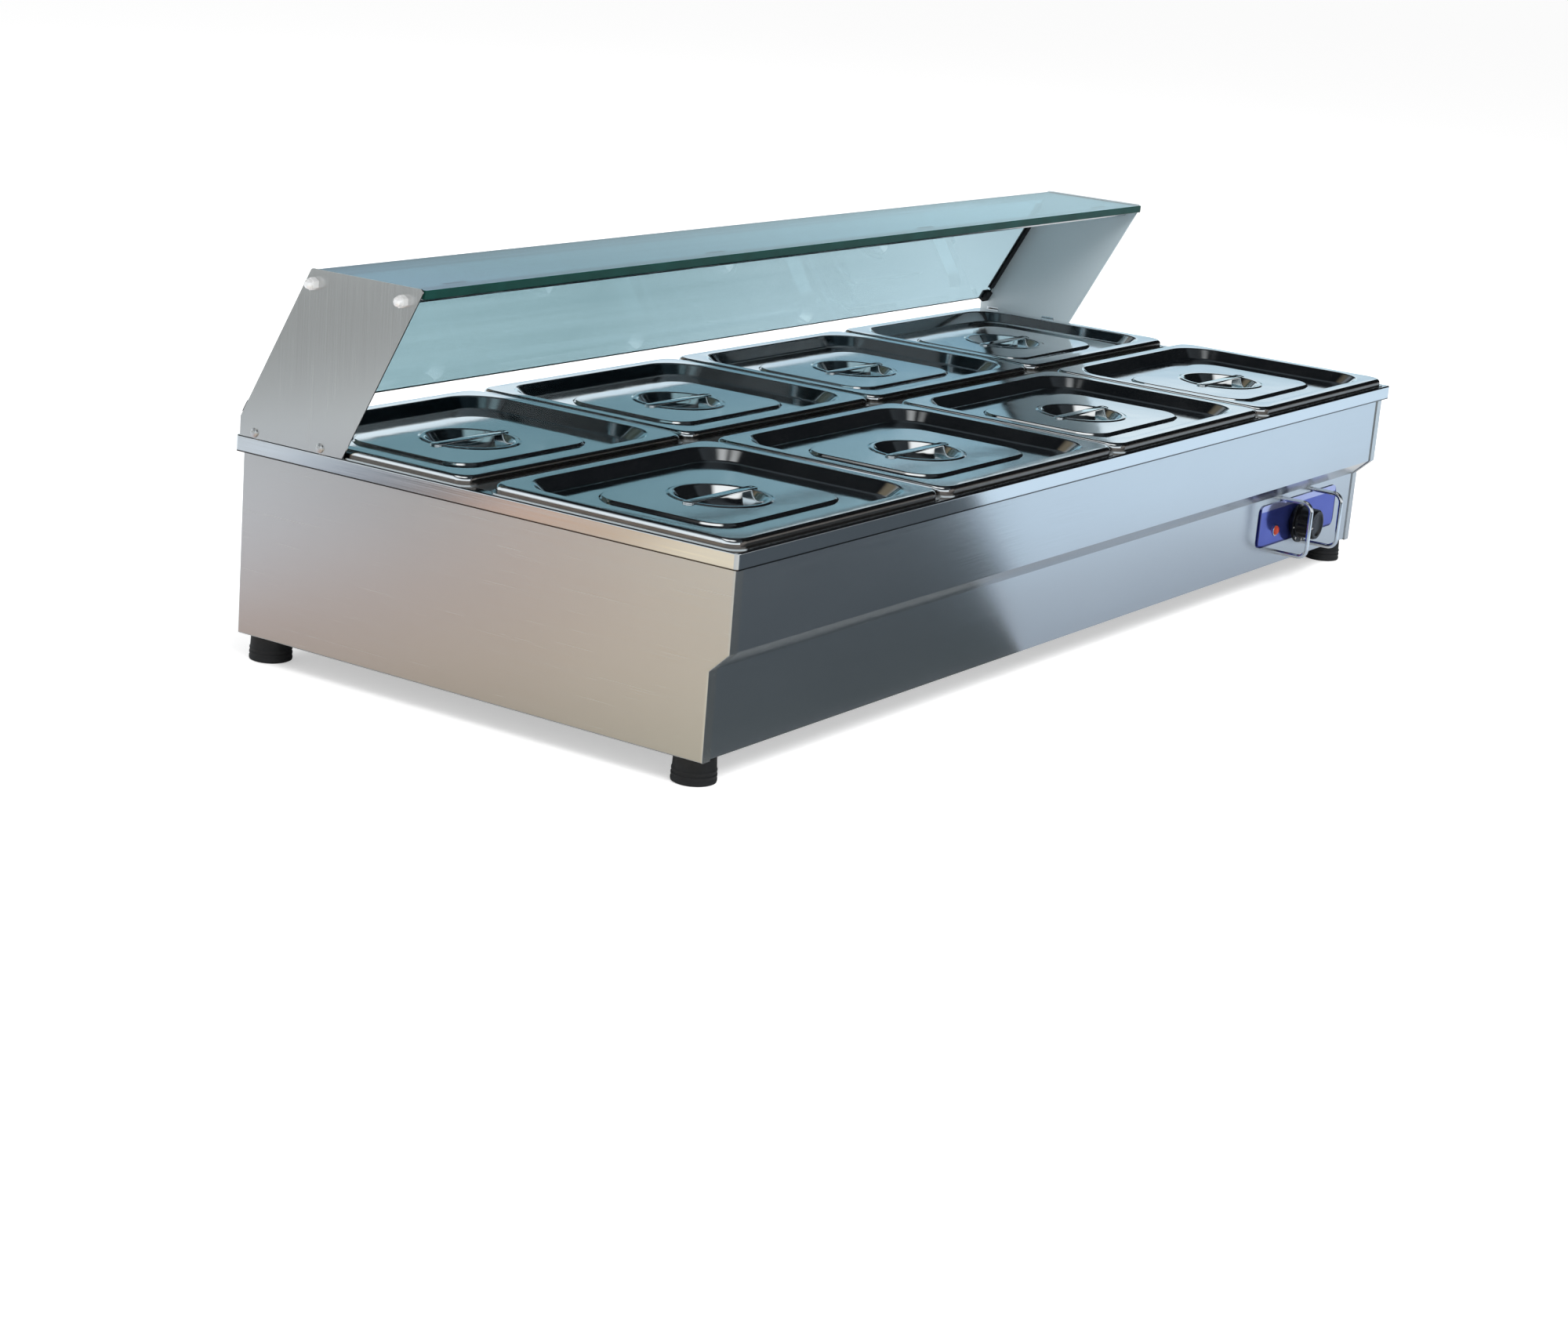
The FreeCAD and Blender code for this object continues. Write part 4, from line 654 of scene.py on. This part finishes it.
for turn, number in DIAL:
    bpy.ops.object.select_all(action="DESELECT")
    bpy.ops.object.text_add()
    word = bpy.context.object
    word.data.body = number
    word.data.size = NUMBER_SIZE
    word.data.align_x = "CENTER"
    word.data.align_y = "CENTER"
    skirt_mark("dial_number_" + number, printed(word), OFF_ANGLE - math.radians(turn),
               NUMBER_RADIUS, SKIRT_FACE)
pointer = rounded_plate(POINTER_WIDTH, POINTER_LENGTH, POINTER_CORNER, 0, 4)
skirt_mark("pointer_line", printed(pointer), OFF_ANGLE, POINTER_RADIUS, GRIP_FACE)

# Neon lamp: a plated bezel pressed through the plate, and a ringed orange lens in it.
lamp_middle = ((lamp_low[0] + lamp_high[0]) / 2, plate_low[1],
               (lamp_low[2] + lamp_high[2]) / 2)
BEZEL_PROFILE = [(0.005, -0.0218), (0.005, 0), (0.0062, 0), (0.0065, 0.0003), (0.0065, 0.0008),
                 (0.0062, 0.0011), (0.0056, 0.0011), (0.0054, 0.0008), (0.0020, 0.0008)]
LENS_PROFILE = [(0.0053, 0.0006), (0.0053, 0.0013), (0.0050, 0.0019), (0.0047, 0.0019),
                (0.0045, 0.0025), (0.0041, 0.0025), (0.0038, 0.0031), (0.0033, 0.0031),
                (0.0029, 0.0036), (0.0022, 0.0036), (0.0017, 0.0039), (0.0004, 0.0040)]
bezel = turned(BEZEL_PROFILE, 48)
smooth(bezel)
facing_front(bezel, lamp_middle, "lamp_bezel", bright_steel, "chassis", "amber_lamp",
             "indicator_lamp")
lamp_glass = mottled("orange_lens", 500.0, 1.0, "#7E1E12", "#B8442A", IOR=1.49, Roughness=0.08,
                     Emission_Color=colour("#FF4A12"), Emission_Strength=0.03)
lens = turned(LENS_PROFILE, 48)
smooth(lens, 60)
facing_front(lens, lamp_middle, "lamp_lens", lamp_glass, "chassis", "amber_lamp")

# Rear and underside fittings
# The cord gland is a moulded body with a six-sided nut, the drain cap is ribbed for the
# fingers, and small domed screws hold the rear panel.
REAR_FACE = 0.27455
gland_low, gland_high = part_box("cable_gland")
gland_middle = ((gland_low[0] + gland_high[0]) / 2, REAR_FACE, (gland_low[2] + gland_high[2]) / 2)
GLAND_PROFILE = [(0.0048, -0.0110), (0.0078, -0.0110), (0.0078, 0), (0.0106, 0), (0.0110, 0.0004),
                 (0.0110, 0.0030), (0.0100, 0.0034), (0.0094, 0.0034), (0.0094, 0.0115),
                 (0.0088, 0.0128), (0.0072, 0.0158), (0.0062, 0.0160), (0.0052, 0.0156),
                 (0.0050, 0.0040), (0.0010, 0.0040)]
NUT_PROFILE = [(0.0090, 0.0036), (0.0102, 0.0036), (0.0109, 0.0044), (0.0109, 0.0092),
               (0.0102, 0.0100), (0.0090, 0.0100)]


def facing_rear(piece, spot, name, material, slot, *replaced):
    """Stands a piece that was turned about Z so that its top faces the rear."""
    settle(piece)
    piece.rotation_euler = (-math.pi / 2, 0, 0)
    piece.location = spot
    finished(piece, name, material, "chassis", slot, *replaced)


gland = turned(GLAND_PROFILE, 48)
smooth(gland)
facing_rear(gland, gland_middle, "gland_body", black_plastic, "black_plastic", "cable_gland")
nut = turned(NUT_PROFILE, 6)
facing_rear(nut, gland_middle, "gland_nut", black_plastic, "black_plastic")

drain_low, drain_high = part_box("drain_cap")
CAP_PROFILE = [(0.0092, 0.0098), (0.0124, 0.0098), (0.0128, 0.0092), (0.0129, 0.0060),
               (0.0129, 0.0020), (0.0122, 0.0004), (0.0110, 0), (0.0020, 0)]
CAP_RIBS = 0.0015, 0.0095, 16, 0.0009, 0.0125
cap = turned(CAP_PROFILE, KNOB_STEPS)
flute(cap, *CAP_RIBS)
smooth(cap)
cap.location = ((drain_low[0] + drain_high[0]) / 2, (drain_low[1] + drain_high[1]) / 2,
                drain_low[2])
finished(cap, "drain_cap_moulding", black_plastic, "chassis", "knob_plastic", "drain_cap")

SCREW_PROFILE = [(0.0034, -0.0004), (0.0034, 0.0004), (0.0031, 0.0010), (0.0024, 0.0015),
                 (0.0010, 0.0016), (0.0008, 0.0007), (0.0002, 0.0007)]
rear_screws = [(across, REAR_FACE, rise) for rise in (0.036, 0.184)
               for across in (-0.62, -0.31, 0, 0.31, 0.62)]
for number, spot in enumerate(rear_screws):
    screw = turned(SCREW_PROFILE, 24)
    smooth(screw)
    facing_rear(screw, spot, "rear_panel_screw_%d" % (number + 1), bright_steel, "bright_steel")

# Inside fittings
# Cases are moulded of a pale, slightly mottled plastic. The bulb with its tube and the bushes
# are drawn copper, tarnished in patches by the warmth of the tank.
case_plastic = mottled("moulded_case", 220.0, 3.0, "#C9C2B2", "#DDD8CB", IOR=1.5, Roughness=0.5)
dress(case_plastic, "thermostat", "terminal_block", "overheat_cutout")
copper = mottled("drawn_copper", 90.0, 5.0, "#9A6B3C", "#D69A62", (0.25, 0.5), Metallic=1.0)
dress(copper, "thermostat_bulb", "tank_bushes")

# Studio
# A pale floor under a plain pale sky. Steel needs something to mirror, so reflections see a
# sky that is pale at the horizon and dim above it, and tinted boards that lie on the floor.
FLOOR_SIZE = 40
FLOOR_SEEN, FLOOR_GLOW = (0.8, 0.8, 0.8, 1), 0.45
FLOOR_FRONT, FLOOR_REAR = (0.55, 0.56, 0.57, 1), (0.86, 0.92, 0.95, 1)
FRONT_TO, REAR_FROM = 0.3, 0.9
SOFT_LIGHT = 0.62, 0.62, 0.62, 1
AHEAD, AHEAD_FROM, AHEAD_WHOLE = (0.83, 0.56, 0.0), 0.70, 0.90

bpy.context.scene.view_settings.view_transform = "Standard"
world = bpy.data.worlds.new("studio")
bpy.context.scene.world = world
world.use_nodes = True
tree = world.node_tree
tree.nodes.clear()
way = add_node(tree, "TexCoord", {}).outputs["Generated"]
height = add_node(tree, "SeparateXYZ", {0: way}).outputs[2]

# Tones of the sky by height, all round and where the camera looks
SKY_ROUND = [(0.0, "#F7FBFF"), (0.30, "#E8F0F6"), (0.46, "#A0A6AB"), (0.60, "#3A3F43"),
             (1.0, "#26292C")]
SKY_AHEAD = [(0.0, "#D8F4FC"), (0.115, "#D0EEF8"), (0.145, "#B2CEDA"), (0.155, "#B6CFE2"),
             (0.18, "#E4F2FA"), (0.235, "#E8F4FA"), (0.275, "#8C9AA2"), (0.31, "#39424A"),
             (0.40, "#1A1E22"), (1.0, "#26292C")]
# Spots of the sky: the middle, the cosines of the angle where it begins and is whole, the tone
SKY_SPOTS = [((0.853, -0.201, 0.482), 0.80, 0.87, "#0E1114"),
             ((-0.143, 0.55, 0.823), 0.84, 0.93, "#0E1114"),
             ((-0.25, -0.14, 0.958), 0.945, 0.99, "#FFFFFF"),
             ((-0.42, 0.24, 0.875), 0.935, 0.99, "#FFFFFF"),
             ((0.10, 0.84, 0.53), 0.93, 0.99, "#6E6657")]


def ramp(tree, value, stops):
    """A ramp of (place, tone) stops."""
    made = add_node(tree, "ValToRGB", {0: value})
    while len(made.color_ramp.elements) < len(stops):
        made.color_ramp.elements.new(0.5)
    for stop, (spot, tone) in zip(made.color_ramp.elements, stops):
        stop.position = spot
        stop.color = colour(tone)
    return made.outputs[0]


def in_mirror(tree):
    """1 for what a reflection sees, and 0 for what the camera sees."""
    path = add_node(tree, "LightPath", {}).outputs
    mirrored = add_node(tree, "Math", {0: path["Glossy Depth"], 1: 0.5},
                        operation="GREATER_THAN")
    return path, mirrored.outputs[0]


def toward(spot, begins, whole, below, above):
    """One tone of the sky, and another towards a spot."""
    near = add_node(tree, "VectorMath", {0: way, 1: spot}, operation="DOT_PRODUCT")
    share = add_node(tree, "MapRange", {0: near.outputs["Value"], 1: begins, 2: whole},
                     interpolation_type="SMOOTHSTEP")
    return add_node(tree, "Mix", {0: share.outputs[0], 6: below, 7: above},
                    data_type="RGBA").outputs[2]


sky = toward(AHEAD, AHEAD_FROM, AHEAD_WHOLE, ramp(tree, height, SKY_ROUND),
             ramp(tree, height, SKY_AHEAD))
for spot, begins, whole, tone in SKY_SPOTS:
    sky = toward(spot, begins, whole, sky, colour(tone))
path, mirrored = in_mirror(tree)
seen = add_node(tree, "Mix", {0: mirrored, 6: (1, 1, 1, 1), 7: sky}, data_type="RGBA")
lit = add_node(tree, "Mix", {0: path["Is Diffuse Ray"], 6: seen.outputs[2], 7: SOFT_LIGHT},
               data_type="RGBA")
glow = add_node(tree, "Background", {"Color": lit.outputs[2]})
add_node(tree, "OutputWorld", {"Surface": glow.outputs[0]})

bpy.ops.object.select_all(action="DESELECT")
bpy.ops.mesh.primitive_plane_add(size=FLOOR_SIZE)
floor = bpy.context.object
floor.name = "floor"
material, tree, shader, place = new_material("pale_floor", Roughness=0.9)
shader.inputs["Specular IOR Level"].default_value = 0
path, mirrored = in_mirror(tree)
deep = add_node(tree, "SeparateXYZ", {0: place}).outputs[1]
behind = add_node(tree, "MapRange", {0: deep, 1: FRONT_TO, 2: REAR_FROM})
tone = add_node(tree, "Mix", {0: behind.outputs[0], 6: FLOOR_FRONT, 7: FLOOR_REAR},
                data_type="RGBA")
tint = add_node(tree, "Mix", {0: mirrored, 6: FLOOR_SEEN, 7: tone.outputs[2]}, data_type="RGBA")
tree.links.new(tint.outputs[2], shader.inputs["Base Color"])
bare = add_node(tree, "Math", {0: 1.0, 1: mirrored}, operation="SUBTRACT")
lift = add_node(tree, "Math", {0: bare.outputs[0], 1: FLOOR_GLOW}, operation="MULTIPLY")
tree.links.new(lift.outputs[0], shader.inputs["Emission Strength"])
shader.inputs["Emission Color"].default_value = (1, 1, 1, 1)
floor.data.materials.append(material)


def board(name, corners, axis, *tones):
    """A board on the floor that only reflections see, tinted along X or Y from its low end."""
    bpy.ops.object.select_all(action="DESELECT")
    bpy.ops.mesh.primitive_plane_add(size=1)
    made = bpy.context.object
    made.name = name
    for vertex, (across, deep) in zip(made.data.vertices, corners):
        vertex.co = (across, deep, BOARD_LIFT)
    made.visible_camera = made.visible_diffuse = made.visible_shadow = False
    made.visible_transmission = False
    tinted, tree, shader, place = new_material(name + "_card", Roughness=0.9)
    along = add_node(tree, "SeparateXYZ", {0: place}).outputs[axis]
    reach = [corner[axis] for corner in corners]
    run = add_node(tree, "MapRange", {0: along, 1: min(reach), 2: max(reach)})
    tree.links.new(ramp(tree, run.outputs[0], tones), shader.inputs["Base Color"])
    made.data.materials.append(tinted)


BOARD_LIFT = 0.002
board("side_board", [(-1.25, -0.9), (-0.67, -0.9), (-1.25, 1.1), (-0.67, 1.1)], 1,
      (0.35, "#D2C9B6"), (0.5, "#C9B9AA"), (0.62, "#C4B3AD"), (0.7, "#C6C2C7"), (0.8, "#D5D8E1"))
board("rim_board", [(-1.5, 0.1), (-1.255, 0.1), (-1.5, 0.98), (-1.255, 0.98)], 1,
      (0.1, "#F4E4C8"), (0.17, "#FFEFD0"), (0.27, "#CDB295"), (0.45, "#CFA993"), (0.58, "#86766F"),
      (0.68, "#6E747E"), (0.78, "#9BA4B2"), (0.87, "#E0E8F0"))
board("guard_board", [(-2.8, 0.985), (-1.3, 0.985), (-2.8, 2.2), (-1.3, 2.2)], 0,
      (0.2, "#8E8B87"), (0.5, "#949595"), (0.75, "#A9ADAD"), (1.0, "#BFC2C7"))
board("slate_board", [(-0.64, -1.7), (1.809, -1.7), (-0.64, -0.28), (-0.061, -0.28)], 1,
      (0.0, "#363E45"), (0.55, "#3C454D"), (0.82, "#3D454C"), (1.0, "#464E52"))
board("pale_board", [(1.811, -1.7), (5.5, -1.7), (-0.059, -0.28), (2.6, -0.28)], 1,
      (0.0, "#D0E6F6"), (0.55, "#CEE2F2"), (0.8, "#C8DBEC"), (0.89, "#BCC8D5"), (1.0, "#B0BBC8"))

LAMPS_FACE = Vector((0, 0, 0.15))


def lamp(name, place, size, power):
    """A soft lamp that faces the middle of the object."""
    bpy.ops.object.light_add(type="AREA", location=place)
    made = bpy.context.object
    made.name = name
    made.data.size = size
    made.data.energy = power
    made.visible_glossy = made.visible_transmission = False
    made.rotation_euler = (LAMPS_FACE - Vector(place)).to_track_quat("-Z", "Y").to_euler()


lamp("key_lamp", (-1.6, -2.6, 3.6), 2.4, 120)
lamp("fill_lamp", (2.6, -1.0, 3.0), 2.0, 50)
lamp("rear_lamp", (0.5, 3.2, 3.2), 2.0, 50)
